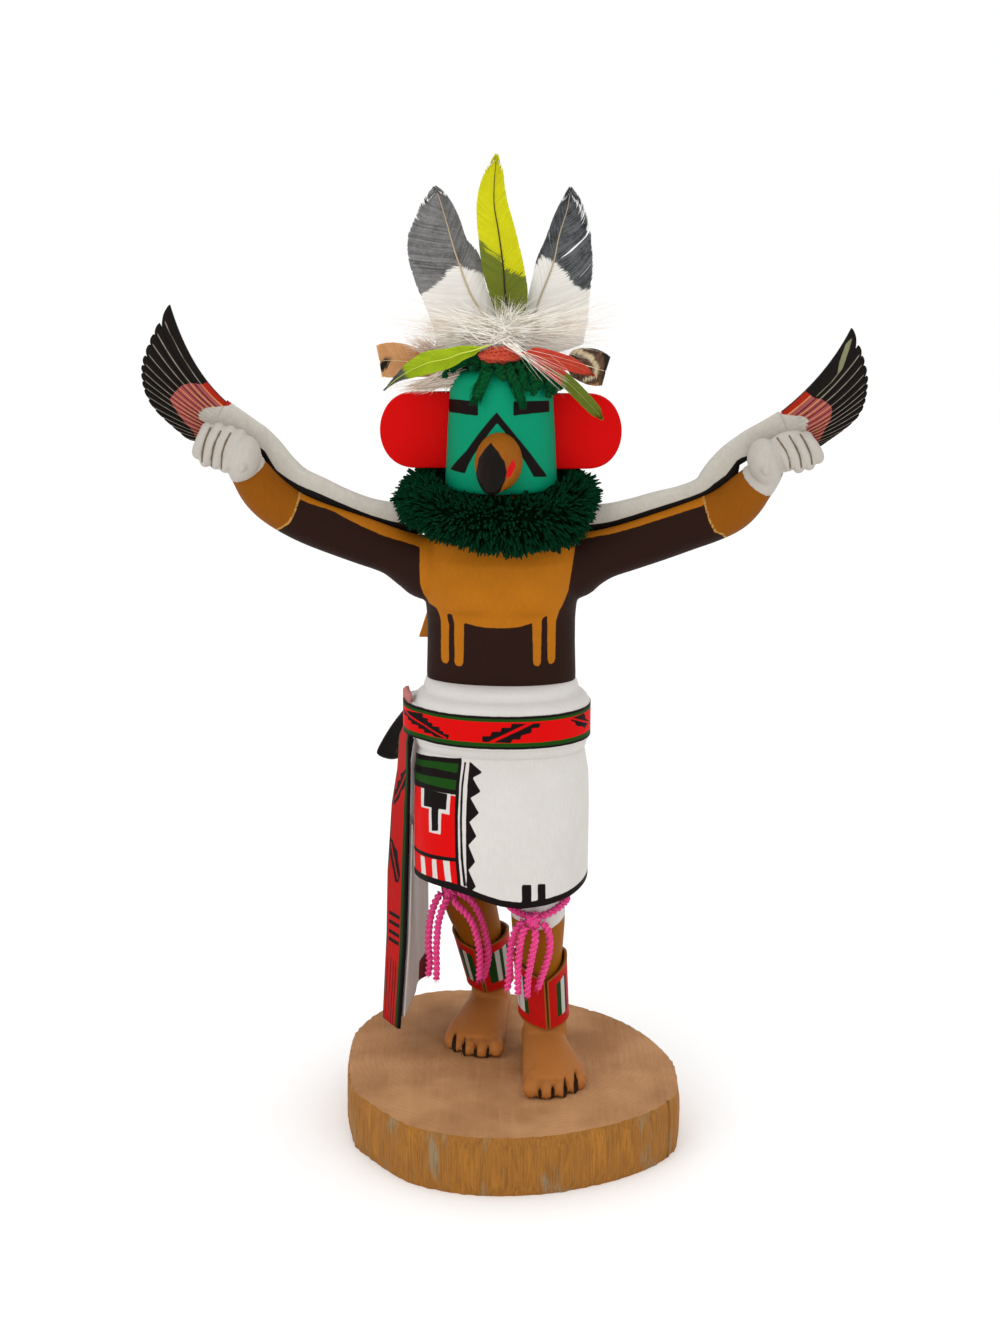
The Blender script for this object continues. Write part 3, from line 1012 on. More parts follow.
def boardFrom(name, outline, thickness):
    # A filled outline pushed back to a thickness in edit mode, with a small bevel round both faces
    item = makeObject(name, outline, [tuple(range(len(outline)))], False)
    only(item)
    bpy.ops.object.mode_set(mode="EDIT")
    bpy.ops.mesh.select_all(action="SELECT")
    bpy.ops.mesh.extrude_region_move(TRANSFORM_OT_translate={"value": (0, thickness * mm, 0)})
    bpy.ops.mesh.select_all(action="SELECT")
    bpy.ops.mesh.normals_make_consistent(inside=False)
    bpy.ops.object.mode_set(mode="OBJECT")
    useModifier(item, "BEVEL", width=boards["bevel"] * mm, segments=3, limit_method="ANGLE",
                angle_limit=math.radians(50))
    only(item)
    bpy.ops.object.shade_smooth_by_angle(angle=math.radians(40))
    return item


def buildBoards():
    # Bright red acrylic on thin board, brushed across
    tabPaint = woodPaint("redTabPaint", boards["red"], streak=(0.15, 1, 1), roughness=0.6, mottle=0.06)
    for side, inner, outer, low, high in boards["tabs"]:
        middle, half = (low + high) / 2, (high - low) / 2
        width = outer - inner
        roundLength = 0.46 * abs(width) * math.copysign(1, width)
        angle = np.linspace(-np.pi / 2, np.pi / 2, 49)
        bulge = np.abs(np.cos(angle)) ** 0.8
        front = boards["tabY"] - boards["thickness"] / 2
        edge = [(outer - roundLength + roundLength * b, front, middle + half * math.sin(a))
                for a, b in zip(angle, bulge)]
        outline = [(inner, front, low), *edge, (inner, front, high)]
        board = boardFrom("redTab" + side.capitalize(), outline, boards["thickness"])
        piece(board, "red paint", tabPaint, "ear_tab_" + side)
    # Ochre paint, thin enough for the board's grain to show
    panelPaint = woodPaint("ochreBoardPaint", boards["ochre"], mottle=0.2)
    board = boardFrom("backBoard", boards["panel"], boards["panelThickness"])
    piece(board, "ochre paint", panelPaint, "back_panel")
    print("boards made")


# A thin form given by two grids of points, its front and its back
def slab(name, front, back):
    rows, cols = front.shape[:2]
    count = rows * cols
    grid = np.arange(count).reshape(rows, cols)
    quads = np.stack([grid[:-1, :-1], grid[:-1, 1:], grid[1:, 1:], grid[1:, :-1]], axis=2).reshape(-1, 4)
    rim = np.concatenate([grid[0, :], grid[1:, -1], grid[-1, -2::-1], grid[-2:0:-1, 0]])
    after = np.roll(rim, -1)
    side = np.stack([rim, after, after + count, rim + count], axis=1)
    faces = np.concatenate([quads, quads[:, ::-1] + count, side])
    item = makeObject(name, np.concatenate([front.reshape(-1, 3), back.reshape(-1, 3)]), faces)
    turnOutward(item)
    return item


def alongLine(line, share):
    place = np.clip(np.array(share, float), 0, 1) * (len(line) - 1)
    low = np.minimum(place.astype(int), len(line) - 2)
    part = (place - low)[:, None]
    return line[low] * (1 - part) + line[low + 1] * part


# The wings: a white strip along the arm and a fan of carved feathers beyond the fist
wings = {
    "depthAt": 31, "depth": 19.5, "slope": 0.135, "rows": 58, "perFeather": 14, "thick": 1.9, "thin": 0.9,
    "notch": 2.6, "crowd": (0.55, 0.75),
    "shares": (0, 0.135, 0.214, 0.283, 0.359, 0.422, 0.473, 0.527, 0.576, 0.644, 0.724, 0.803, 0.873, 0.937,
        1),
    "left": {
        "covert": ((31, 262.2, 4.2), (38, 263.6, 4.6), (46, 264.9, 4.3), (55, 267.4, 3.7), (65, 272, 3.1),
            (75, 277.4, 2.9), (83, 281.3, 3.2), (89, 286.3, 3.8), (95, 292.6, 4.7), (100, 297.2, 5.2),
            (104, 300, 5.4), (110, 303.6, 6.2), (116, 306.6, 7.4)),
        "root": ((109.5, 309.8), (113.5, 304), (118, 297)),
        "bend": ((127.1, 323.6), (131, 311.6), (124, 295.2)),
        "tip": ((134.6, 353.2), (143.2, 337.8), (147, 324.8), (143.2, 311.2), (129.6, 297.4)),
        "pink": ((-118, 335), (-124.7, 320.9), (-127.1, 319.9), (-131.9, 320.5), (-135.4, 319.5),
            (-138, 317.1), (-140.2, 314.1), (-139.5, 312.2), (-137.5, 308.6), (-134.5, 304.3),
            (-131.2, 300.7), (-130.7, 298.5), (-125, 288), (-100, 288), (-100, 335)),
        "white": ((-108, 330), (-115.7, 311.7), (-116.6, 311), (-121.8, 310.5), (-123.5, 310.7),
            (-125, 310), (-126, 310.5), (-126.4, 309.5), (-127.8, 309.8), (-127.3, 308.8), (-128.9, 308.6),
            (-128.3, 307.6), (-129.2, 307.8), (-128.6, 305.9), (-126.6, 304.5), (-122, 290), (-95, 285),
            (-90, 330)),
    },
    "right": {
        "covert": ((31, 262, 4.2), (38, 263.2, 4.6), (46, 264.6, 4.2), (55, 267.4, 3.6), (65, 270.8, 3.3),
            (75, 274, 2.8), (83, 277.4, 3), (86.5, 281.4, 3.6), (90, 285.2, 4.3), (95, 289.4, 5.2),
            (100, 293, 5.5), (104, 296, 5.4), (110, 299.2, 5.7), (117, 302.4, 6.8)),
        "root": ((111.5, 305.8), (116, 300.2), (120.5, 293.2)),
        "bend": ((132.8, 322.2), (135, 305.6), (127.6, 291.6)),
        "tip": ((142.6, 343.8), (148, 330.4), (149.8, 319.4), (146.2, 306.6), (132.2, 294.8)),
        "pink": ((112, 330), (120.6, 316.8), (123.7, 314.5), (126.9, 313.9), (129.8, 312), (131.2, 310.1),
            (130.7, 305.6), (129.2, 302.9), (126.8, 297.5), (125.9, 294.9), (122, 285), (95, 285),
            (95, 330)),
        "white": ((104, 325), (110.8, 308.8), (111, 307.5), (114.8, 307.1), (119.4, 306.8), (121.3, 305.9),
            (122, 304.7), (120.8, 303.7), (122, 303.3), (120.5, 302.4), (121.4, 301.6), (120.9, 300.8),
            (116, 285), (90, 280), (88, 325)),
        "stripe": ((138.4, 339.4), (135.7, 336.5), (133.4, 329), (132.9, 324.5), (129.9, 320.5),
            (124.3, 314.9), (124.9, 314.9), (131.1, 321.2), (134.8, 326.4), (137.1, 334.2)),
    },
    "black": "#14100e", "pink": "#9c4c4c", "red": "#9e2010", "white": "#bab5ab", "quill": "#948a7a",
    "warmQuill": "#cf9560", "olive": "#7a7a5c", "valley": "#2e1815",
}


featherMarks = ("quillMark", "valleyMark", "upperMark")


# A fan of feathers between three lines, each feather with a quill, a lapped edge and a rounded end
def featherFan(name, lines, face, shares, cut, crowd=(1, 1)):
    rows, per, thick, thin, notch = (cut[key] for key in ("rows", "perFeather", "thick", "thin", "notch"))
    root, bend, tip = (smoothLine(line, 8) for line in lines)
    lengths = lengthsAlong(tip)
    places = np.interp(np.array(shares) * lengths[-1], lengths, np.linspace(0, 1, len(lengths)))
    columns, within, which = [], [], []
    for k in range(len(places) - 1):
        v = np.linspace(0, 1, per + 1)
        columns.append(places[k] + (places[k + 1] - places[k]) * np.clip(v, 0.02, 0.98))
        within.append(v)
        which.append(np.full(per + 1, k))
    share, v, which = (np.concatenate(part) for part in (columns, within, which))
    start, middle, end = (alongLine(line, share ** power)
                          for line, power in zip((root, bend, tip), (*crowd, 1)))
    reach = np.linalg.norm(end - middle, axis=1) * 2.2
    width = np.diff(places)[which] * lengths[-1]
    near = np.where(which == 0, 0.35, 0.5)
    short = notch * np.abs(2 * v - 1) ** 2.4 * np.where(v < 0.5, near, 1.15) * np.clip(width / 8, 0.3, 1)
    last = 1 - short / reach
    flat = 0.55 * thin + 0.3 * thin * np.sin(np.pi * v)
    front, back, marks = [], [], []
    for row in range(rows + 1):
        along = (row / rows) * last
        point = (start * ((1 - along) ** 2)[:, None] + middle * (2 * along * (1 - along))[:, None]
                 + end * (along ** 2)[:, None])
        # The quill leans towards the lapped edge as it nears the tip
        quill = np.where(which == 0, 0.5, 0.44) + 0.24 * (row / rows) ** 1.6
        ridge = 0.28 * np.exp(-((v - quill) / 0.07) ** 2)
        profile = thin + (thick - thin) * np.clip(v / 0.14, 0, 1) * (1 - 0.75 * v) + ridge
        fade = (1 - 0.45 * along) * (1 - 0.55 * np.clip((row / rows - 0.96) / 0.04, 0, 1) ** 2)
        relief = thin + (profile - thin) * np.clip(row / rows * 6 - 0.6, 0, 1)
        front.append(point + np.outer(relief * fade, face))
        back.append(point - np.outer(flat * fade + 0.25, face))
        local = width * (0.3 + 0.7 * row / rows)
        quillMark = 0.19 - np.abs(v - quill) * local - np.clip((row / rows - 0.95) * 12, 0, 1)
        valley = 0.16 - np.minimum(v, 1 - v) * local
        upper = np.where(which == 0, (quill - v) * local, -9.0)
        marks.append(np.stack([quillMark, valley, upper], axis=1))
    item = slab(name, np.array(front), np.array(back))
    marks = np.concatenate(marks)
    marks = np.concatenate([marks, marks])
    for index, label in enumerate(featherMarks):
        setLayer(item, label, marks[:, index])
    return item


def buildWings():
    for side, sign in (("left", -1), ("right", 1)):
        wing = wings[side]

        def place(offset, z):
            return (bodyX + sign * offset, wings["depth"] - (offset - wings["depthAt"]) * wings["slope"], z)

        lines = [[place(*point) for point in wing[key]] for key in ("root", "bend", "tip")]
        fan = featherFan("fan", lines, (0, -1, 0), wings["shares"], wings, wings["crowd"])
        route, arm = smoothLine(wing["covert"], 10), figure[side + "Arm"]
        rings, lower = [], []
        for i, (offset, z, half) in enumerate(route):
            ahead, behind = route[min(i + 1, len(route) - 1)], route[max(i - 1, 0)]
            along = unit(np.array(place(*ahead[:2])) - np.array(place(*behind[:2])))
            over = unit(np.cross(along, (0, 1, 0))) * sign
            over = over if over[2] > 0 else -over
            depth = 2.7 - 1.1 * i / (len(route) - 1)
            ring = ovalRing(place(offset, z), (0, 1, 0), over, depth, half, 48, 2.4)
            # Its lower lip comes down to the arm along the sleeve
            near, middle, radius = (between(offset, arm, k) for k in (1, 2, 3))
            lip = z - half - (middle + math.sqrt(max(1.0, radius ** 2 - (ring[:, 1].mean() - near) ** 2)) - 0.6)
            lip *= np.clip((96 - offset) / 6, 0, 1) * np.clip((offset - 29) / 3, 0, 1)
            low = np.clip(-(ring - place(offset, z)) @ over / half, 0, 1)
            lower.append((low - 0.52) * half - 2.4 * max(0.0, (offset - 98) / 6)
                         + 9 * max(0.0, (33.5 - offset) / 2))
            ring -= np.outer(max(0.0, lip) * low ** 1.5, over)
            rings.append(ring)
        strip = loft("strip", rings)
        low = np.concatenate(lower)
        for label, value in zip(featherMarks, (-9.0, -9.0, 9.0)):
            setLayer(strip, label, np.full(len(low), value))
        setLayer(strip, "lowerLip", low * 3)
        setLayer(fan, "lowerLip", np.full(len(fan.data.vertices), -9.0))
        item = joined("carvedWing" + side.capitalize(), [fan, strip])
        p = pointsOf(item)
        x, z = p[:, 0], p[:, 2]
        pink = area(wing["pink"], x, z)
        white = np.maximum(area(wing["white"], x, z), np.where(np.abs(x - bodyX) < 104, 5, -9.0))
        values = {}
        for label in featherMarks:
            data = np.zeros(len(p), np.float32)
            item.data.attributes[label].data.foreach_get("value", data)
            values[label] = data
        setLayer(item, "pinkArea", pink)
        setLayer(item, "redArea", np.minimum(pink, values["upperMark"]))
        setLayer(item, "pinkQuill", np.minimum(pink, values["quillMark"]))
        setLayer(item, "pinkValley", np.minimum(pink, values["valleyMark"]))
        setLayer(item, "whiteArea", white)
        setLayer(item, "stripeArea", area(wing["stripe"], x, z) if "stripe" in wing else np.full(len(p), -9.0))
        if "stripe" in wing:
            # The leading feather carries the olive streak in place of a quill
            bare = np.where(values["upperMark"] > -8.5, -9.0, values["quillMark"])
            item.data.attributes["quillMark"].data.foreach_set("value", bare.astype(np.float32))
        # Acrylic on the carved wing: black vanes, pale quills, pink and red at the root, brushed white coverts
        finish = woodPaint("wingPaint" + side.capitalize(), wings["black"],
                           (("stripeArea", wings["olive"]), ("quillMark", wings["quill"]),
                            ("pinkArea", wings["pink"]), ("redArea", wings["red"]),
                            ("pinkValley", wings["valley"]), ("pinkQuill", wings["warmQuill"]),
                            ("whiteArea", wings["white"]), ("lowerLip", wings["black"])),
                           streak=(0.5, 1, 0.5), roughness=0.5, mottle=0.14, waver=0.1)
        piece(item, "black paint", finish, "wing_" + side)
    print("wings made")


# The tail behind the belt, carved like the wings
tail = {
    "root": ((-38.5, 33, 182), (-14, 45, 185), (14, 43, 184)),
    "bend": ((-52.5, 46, 168), (-17, 58, 163), (17, 52, 165)),
    "tip": ((-61.3, 56, 147.5), (-38, 69, 138), (-16, 74, 135), (6, 69, 138), (24, 60, 143)),
    "face": (0, -0.55, -0.83), "count": 6, "rows": 46, "perFeather": 20, "thick": 2.2, "thin": 1.2,
    "notch": 6.0, "black": "#120e0d", "quill": "#4a453c",
}


def buildTail():
    lines = [tail["root"], tail["bend"], tail["tip"]]
    item = featherFan("carvedTail", lines, unit(tail["face"]) * -1, np.linspace(0, 1, tail["count"] + 1), tail)
    # Black acrylic with fine pale quills, as on the wings
    finish = woodPaint("tailPaint", tail["black"], (("quillMark", tail["quill"]),), roughness=0.45, waver=0.1)
    piece(item, "black paint", finish, "tail_fan")
    print("tail made")


# The sash end at the viewer's left and the white cloth end under it, both carved
sash = {
    "sections": ((188.8, -43.6, -45.4), (187.6, -43.7, -46.8), (184, -43.8, -46.8), (171, -43.8, -46.9),
        (167, -44.3, -48.6), (152, -44.4, -49.6), (136, -44.9, -52.2), (105, -45.9, -54.4),
        (76, -47, -55.2), (36, -50, -57.4)),
    "near": 7.0, "far": 20.0, "thickness": 1.2,
    "motifs": (((8.9, 155.5), (12.2, 152.4), (15.4, 150.8), (14.4, 148.6), (17.4, 146.7), (17.4, 143.9),
        (19.1, 142), (17.9, 135.5), (16, 137.9), (14, 139.9), (12.8, 143.5), (10.3, 145.7), (8.3, 148.6)),
        ((19.7, 120.9), (17.1, 119.9), (15.1, 117.3), (13.2, 116.5), (12.6, 113), (10.6, 106.2),
        (11.9, 102), (14.1, 102.1), (15.7, 106.3), (17.3, 109.5), (18.8, 112.8))),
    "motifLines": (((9.5, 152.5), (17.8, 138.5)), ((18.6, 118.5), (12.2, 104))),
    "bars": (86.5, 82.5, 78, 74.4), "threads": (17.9, 15.5, 13.3, 11.5), "flapHeights": (130, 41),
    "flapRows": 100, "redTip": ((49, 35), (51, 50), (62, 56), (62, 35)), "rows": 220, "columns": 34,
    "edges": ((36, 9.7, 8.1), (100, 9.9, 8.2), (168, 9.4, 7.5), (188, 9.4, 7.5)), "farEdge": 19.3,
    "threadsTop": 66, "barSpan": (10.3, 18.2), "paleFrom": 183,
    "flapInner": ((22, -43.7), (36.6, -43.3), (50.3, -42.3), (57.9, -37.8)), "red": "#ac0a07",
    "green": "#113808", "black": "#100909", "pale": "#b06a66", "white": "#c6c0bb", "darkRed": "#66181b",
}


def sashEdges(z):
    rows = sorted(sash["sections"])
    return between(z, rows, 1), between(z, rows, 2)


def buildSash():
    heights = np.linspace(sash["sections"][0][0], sash["sections"][-1][0], sash["rows"])
    front, back = sashEdges(heights)
    share = np.linspace(0, 1, sash["columns"])
    y = sash["near"] + (sash["far"] - sash["near"]) * share
    x = front[:, None] + (back - front)[:, None] * share[None, :]
    bow = 0.5 * np.sin(np.pi * share)[None, :] * np.ones(len(heights))[:, None]
    outer = np.stack([x - bow * 0.4, np.broadcast_to(y, x.shape),
                      np.broadcast_to(heights[:, None], x.shape)], axis=2)
    inner = outer + (sash["thickness"], 0, 0)
    item = slab("sashEnd", outer, inner)
    p = pointsOf(item)
    y, z = p[:, 1], p[:, 2]
    setLayer(item, "greenEdge", between(z, sash["edges"], 1) - y)
    setLayer(item, "blackEdge", between(z, sash["edges"], 2) - y)
    setLayer(item, "farEdge", y - sash["farEdge"])
    setLayer(item, "motifs", anyOf(*(area(shape, y, z) for shape in sash["motifs"])))
    setLayer(item, "motifLines", anyOf(*(stroke(line, 0.9, y, z) for line in sash["motifLines"])))
    bars = anyOf(*(0.9 - np.abs(z - level) for level in sash["bars"]))
    threads = np.minimum(anyOf(*(0.3 - np.abs(y - at) for at in sash["threads"])), sash["threadsTop"] - z)
    front, back = sash["barSpan"]
    setLayer(item, "bars", np.minimum(np.maximum(threads, np.minimum(bars, back - y)), y - front))
    setLayer(item, "paleTop", z - sash["paleFrom"])
    # Acrylic on the carved sash: red field with green and black edges
    finish = woodPaint("sashPaint", sash["red"],
                       (("motifs", sash["black"]), ("motifLines", sash["red"]), ("bars", sash["black"]),
                        ("greenEdge", sash["green"]), ("farEdge", sash["green"]), ("blackEdge", sash["black"]),
                        ("paleTop", sash["pale"])), waver=0.15)
    piece(item, "red paint", finish, "side_sash")
    under = sash["thickness"] * 1.1 + 0.7
    heights = np.linspace(*sash["flapHeights"], sash["flapRows"])
    outer, inner = [], []
    for z in heights:
        front, back = sashEdges(z)
        near = front + under
        line = smoothLine(((near, 8.2), (back + under, 20.5), (back + under + 1.4, 30),
                           (back + under + 4.6, 46), (-42, 59.4)), 12)
        lean = [max(0.0, 1 - (y - 7) / 30) for y, x in sash["flapInner"]]
        inside = [(x + (near + 0.6 - x) * k, y) for (y, x), k in zip(sash["flapInner"], lean)]
        other = smoothLine(((near + 0.6, 8.4), *inside), 12)
        outer.append(np.column_stack([line, np.full(len(line), z)]))
        inner.append(np.column_stack([other, np.full(len(other), z)]))
    outer, inner = np.array(outer), np.array(inner)
    fold = 0.35 * np.sin(outer[:, :, 1] * 0.55 + outer[:, :, 2] * 0.02)
    outer[:, :, 0] -= fold * np.clip((outer[:, :, 1] - 22) / 8, 0, 1) * 0.8
    flap = slab("whiteClothEnd", outer, inner)
    p = pointsOf(flap)
    setLayer(flap, "redTip", area(sash["redTip"], p[:, 1], p[:, 2]))
    # White acrylic gone a little grey and pink, brushed down the carved folds
    finish = woodPaint("flapPaint", sash["white"], (("redTip", sash["darkRed"]),), streak=(1, 1, 0.06),
                       mottle=0.1)
    piece(flap, "painted wood", finish, "sash_flap")
    print("sash and cloth end made")


# Leather cuffs, painted, slit at the front
cuffs = {
    "thickness": 1.1, "slit": 4.5, "around": 180, "rows": 32, "borders": (4.6, 4.2),
    "right": {
        "centre": (13.2, 3.3), "lean": (-0.066, -0.085), "inner": (10, 10.6), "heights": (45.8, 74.2),
        "dips": (5.2, 10), "front": 9.0,
        "stripes": ((-80.8, -65.3, "white"), (-65.3, -63.5, "black"), (-63.5, -44.9, "white"),
            (-44.9, -34, "green"), (32.7, 45.1, "green"), (45.1, 58.3, "white"), (58.3, 65.8, "black")),
    },
    "left": {
        "centre": (-11.6, 41), "lean": (-0.165, -0.245), "inner": (9.7, 11.7), "heights": (45.2, 71.8),
        "dips": (3.6, 6.6), "front": -14.0,
        "stripes": ((-64.5, -50.1, "green"), (-50.1, -39.6, "white"), (-39.6, -25.2, "green"),
            (4, 23, "green"), (23, 35, "white"), (35, 43.7, "green"), (43.7, 56.9, "white"),
            (56.9, 64, "black")),
    },
    "red": "#b01410", "green": "#143c14", "white": "#b4b4af", "black": "#130d0b", "leather": "#8c5a22",
}


def buildCuffs():
    for side in ("left", "right"):
        cuff = cuffs[side]
        half = math.radians(cuffs["slit"]) / 2
        around = np.linspace(half, 2 * np.pi - half, cuffs["around"])
        share = np.linspace(0, 1, cuffs["rows"])
        frontShare = np.maximum(0, 1 - np.minimum(around, 2 * np.pi - around) / (np.pi / 2))
        direction = math.radians(cuff["front"]) + around - np.pi / 2
        out = np.stack([np.cos(direction), np.sin(direction), np.zeros(len(around))], axis=1)
        middle = sum(cuff["heights"]) / 2
        low = cuff["heights"][0] - cuff["dips"][0] * frontShare
        high = cuff["heights"][1] - cuff["dips"][1] * frontShare
        z = low[None, :] + (high - low)[None, :] * share[:, None]
        inner = cuff["inner"][0] + (cuff["inner"][1] - cuff["inner"][0]) * share
        axis = np.stack([cuff["centre"][0] + cuff["lean"][0] * (z - middle),
                         cuff["centre"][1] + cuff["lean"][1] * (z - middle), z], axis=2)
        rim = np.minimum(share, 1 - share) * 28
        swell = 0.16 * np.exp(-(rim / 0.7) ** 2)
        inside = axis + out[None, :, :] * inner[:, None, None]
        outside = axis + out[None, :, :] * (inner + cuffs["thickness"] + swell)[:, None, None]
        item = slab("ankleCuff" + side.capitalize(), outside, inside)
        theta = np.degrees(np.mod(around, 2 * np.pi)) + cuff["front"]
        theta = (theta + 180) % 360 - 180
        angle = np.broadcast_to(theta[None, :], z.shape).ravel()
        down = (z - low[None, :]).ravel()
        below = (high[None, :] - z).ravel()
        radius = cuff["inner"][0] + 1
        layers = {"white": [], "green": [], "black": []}
        for a, b, paint in cuff["stripes"]:
            for shift in (0, 180):
                centre, halfWide = (a + b) / 2 + shift, (b - a) / 2
                away = np.abs((angle - centre + 180) % 360 - 180)
                layers[paint].append((halfWide - away) * radius * math.pi / 180)
        inBand = np.minimum(down - cuffs["borders"][0], below - cuffs["borders"][1])
        for paint, fields in layers.items():
            values = np.minimum(anyOf(*fields), inBand)
            setLayer(item, paint + "Stripe", np.concatenate([values, values]))
        slitAway = np.abs(np.mod(around + np.pi, 2 * np.pi) - np.pi) * radius
        edge = np.broadcast_to(np.abs(slitAway - half * radius)[None, :], z.shape).ravel()
        leather = 0.55 - np.minimum(np.minimum(down, below), edge)
        lining = np.full(len(leather), 2.0)
        setLayer(item, "leatherEdge", np.concatenate([leather, lining]))
        # Thin vegetable-tanned leather, painted on its outer face, bare at the cut edges and inside
        finish = woodPaint("paintedLeather" + side.capitalize(), cuffs["red"],
                           (("whiteStripe", cuffs["white"]), ("greenStripe", cuffs["green"]),
                            ("blackStripe", cuffs["black"]), ("leatherEdge", cuffs["leather"])),
                           roughness=0.5, depth=0.08, mottle=0.15, waver=0.12)
        piece(item, "leather", finish, "ankle_cuff_" + side)
    print("cuffs made")


# The ruff: a ring of cut yarn round the neck
ruff = {
    "centre": (-6.2, 14.0, 270.4), "radius": 28.0, "halfWidth": 14.2, "halfHeight": 12.4, "tilt": 0.15,
    "tufts": 5600, "faceOut": (-2.5, 2.3), "rootAt": 0.58, "coreAt": 0.74, "tipAt": 1.08,
    "maskRoom": (27.5, 277.3), "beakRoom": (-7, 10, -4, 279), "dark": "#020b06", "colour": "#062a18",
    "pale": "#175536",
}


def tuftedYarn(name, bases, outs, lengths, widths, droop=(0, 0, 0)):
    # Short tapered ends of yarn, four-sided
    count = len(bases)
    side = np.cross(outs, rng.normal(size=(count, 3)))
    side /= np.linalg.norm(side, axis=1)[:, None]
    over = np.cross(outs, side)
    stations = ((0, 0.8), (0.7, 1.05), (1.0, 0.4))
    points = []
    for t, size in stations:
        middle = bases + outs * (lengths * t)[:, None] + np.array(droop) * t * t
        for k in range(4):
            angle = 2 * math.pi * k / 4 + t * 1.2
            points.append(middle + (side * math.cos(angle) + over * math.sin(angle)) * (widths * size)[:, None])
    grid = np.stack(points, axis=1)
    faces = []
    for row in range(2):
        for k in range(4):
            j = (k + 1) % 4
            faces.append((row * 4 + k, row * 4 + j, (row + 1) * 4 + j, (row + 1) * 4 + k))
    faces.append((8, 9, 10, 11))
    quads = (np.arange(count)[:, None, None] * 12 + np.array(faces)[None]).reshape(-1, 4)
    item = makeObject(name, grid.reshape(-1, 3), quads.tolist())
    setLayer(item, "tuftEnd", np.tile(np.repeat([t for t, size in stations], 4), count))
    setLayer(item, "tuftTone", np.repeat(rng.random(count), 12))
    return item


def ruffSurface(turn, angle, grow):
    lump = 1 + 0.07 * np.sin(5 * turn + 2 * angle) + 0.05 * np.sin(11 * turn - 3 * angle)
    reach = ruff["radius"] + ruff["halfWidth"] * np.cos(angle) * lump * grow
    z = ruff["halfHeight"] * np.sin(angle) * lump * grow
    # It rides up a little under the viewer's left
    z += 4.2 * np.clip((0.25 - np.cos(turn)) / 0.6, 0, 1) * np.clip(-np.sin(angle), 0, 1)
    p = np.stack([reach * np.cos(turn), reach * np.sin(turn), z], axis=1) + np.array(ruff["centre"])
    p[:, 2] += (p[:, 1] - bodyY) * ruff["tilt"]
    return p


def tuftMaterial(name, dark, colour, pale):
    # Cut wool pile: no gloss, dark between the ends, lighter where they are cut, fuzzy fibres
    finish, add, shader = newMaterial(name, 0.95, 0.04)
    fibres = lumps(add, 0.5, 4.0, 0.7)
    end, own = (add("Attribute", out="Fac", attribute_name=field) for field in ("tuftEnd", "tuftTone"))
    own = add("Math", (own, 0.2), operation="ADD")
    share = add("Math", (add("MapRange", (fibres, 0.45, 0.65, 0.0, 0.7)), own), operation="MULTIPLY")
    tone = glaze(add, glaze(add, dark, colour, end, 0.1, 0.8), pale, share)
    feed(shader, {"Base Color": tone, "IOR": 1.1,
                  "Normal": add("Bump", {"Height": fibres, "Strength": 1.0, "Distance": 0.3 * mm})})
    return finish


def buildRuff():
    count = ruff["tufts"]
    turn = rng.random(count) * 2 * np.pi
    angle = rng.uniform(*ruff["faceOut"], count)
    base = ruffSurface(turn, angle, ruff["rootAt"])
    tip = ruffSurface(turn, angle, ruff["tipAt"])
    outs = tip - base + rng.normal(size=(count, 3)) * 1.5
    lengths = np.linalg.norm(tip - base, axis=1) * rng.uniform(0.86, 1.14, count)
    outs /= np.linalg.norm(outs, axis=1)[:, None]
    ends = base + outs * lengths[:, None]
    fromAxis = np.hypot(ends[:, 0] - bodyX, ends[:, 1] - bodyY)
    # No end of yarn runs into the mask or the beak
    inMask = (fromAxis < ruff["maskRoom"][0]) & (ends[:, 2] > ruff["maskRoom"][1])
    x, half, y, z = ruff["beakRoom"]
    keep = ~inMask & ~((np.abs(ends[:, 0] - x) < half) & (ends[:, 1] < y) & (ends[:, 2] > z))
    item = tuftedYarn("yarnRuff", base[keep], outs[keep], lengths[keep], rng.uniform(0.45, 0.8, keep.sum()),
                      (0, 0, -0.8))
    rings = [ruffSurface(np.full(24, t), np.linspace(0, 2 * np.pi, 25)[:-1], ruff["coreAt"])
             for t in np.linspace(0, 2 * np.pi, 73)[:-1]]
    core = loft("core", rings, closedRows=True)
    for field in ("tuftEnd", "tuftTone"):
        setLayer(core, field, np.zeros(len(core.data.vertices)))
    item = joined("yarnRuff", [item, core])
    finish = tuftMaterial("cutPileYarn", ruff["dark"], ruff["colour"], ruff["pale"])
    piece(item, "green yarn", finish, "yarn_ruff")
    print("ruff made")


# Green yarn laid over the crown, two ends over the forehead, and the red wrap round the feather butts
crown = {
    "strands": 100, "core": ((323.5, 12), (326.2, 15), (328.4, 13), (329.6, 6)),
    "drape": ((2, 331), (7, 330.8), (12, 330.2), (16.5, 329), (20, 327.4), (22.4, 325), (23.8, 322.4),
        (24.4, 319.6), (24.2, 317.2), (23.6, 315.2)),
    "hangs": ((-180, 317), (-100, 317.5), (-78, 320), (-62, 327), (-25, 328), (-8, 324), (6, 322),
        (20, 320), (40, 317.5), (80, 316), (120, 317), (180, 317)),
    "ends": (((-10, -7.6, 326.4), (-15.2, -9.2, 313.4), 2.3), ((0.6, -8.6, 323.4), (4.3, -9.6, 312), 1.6)),
    "endHairs": 260, "fuzz": 7500, "bindCentre": (-5.2, -0.5, 332.2), "bindHalf": (8.3, 6.0, 3.5),
    "bindTurns": 9, "dark": "#02240f", "colour": "#05562a", "pale": "#157a42", "red": "#d4573f",
    "deepRed": "#9c3222", "paleRed": "#ec8e74",
}


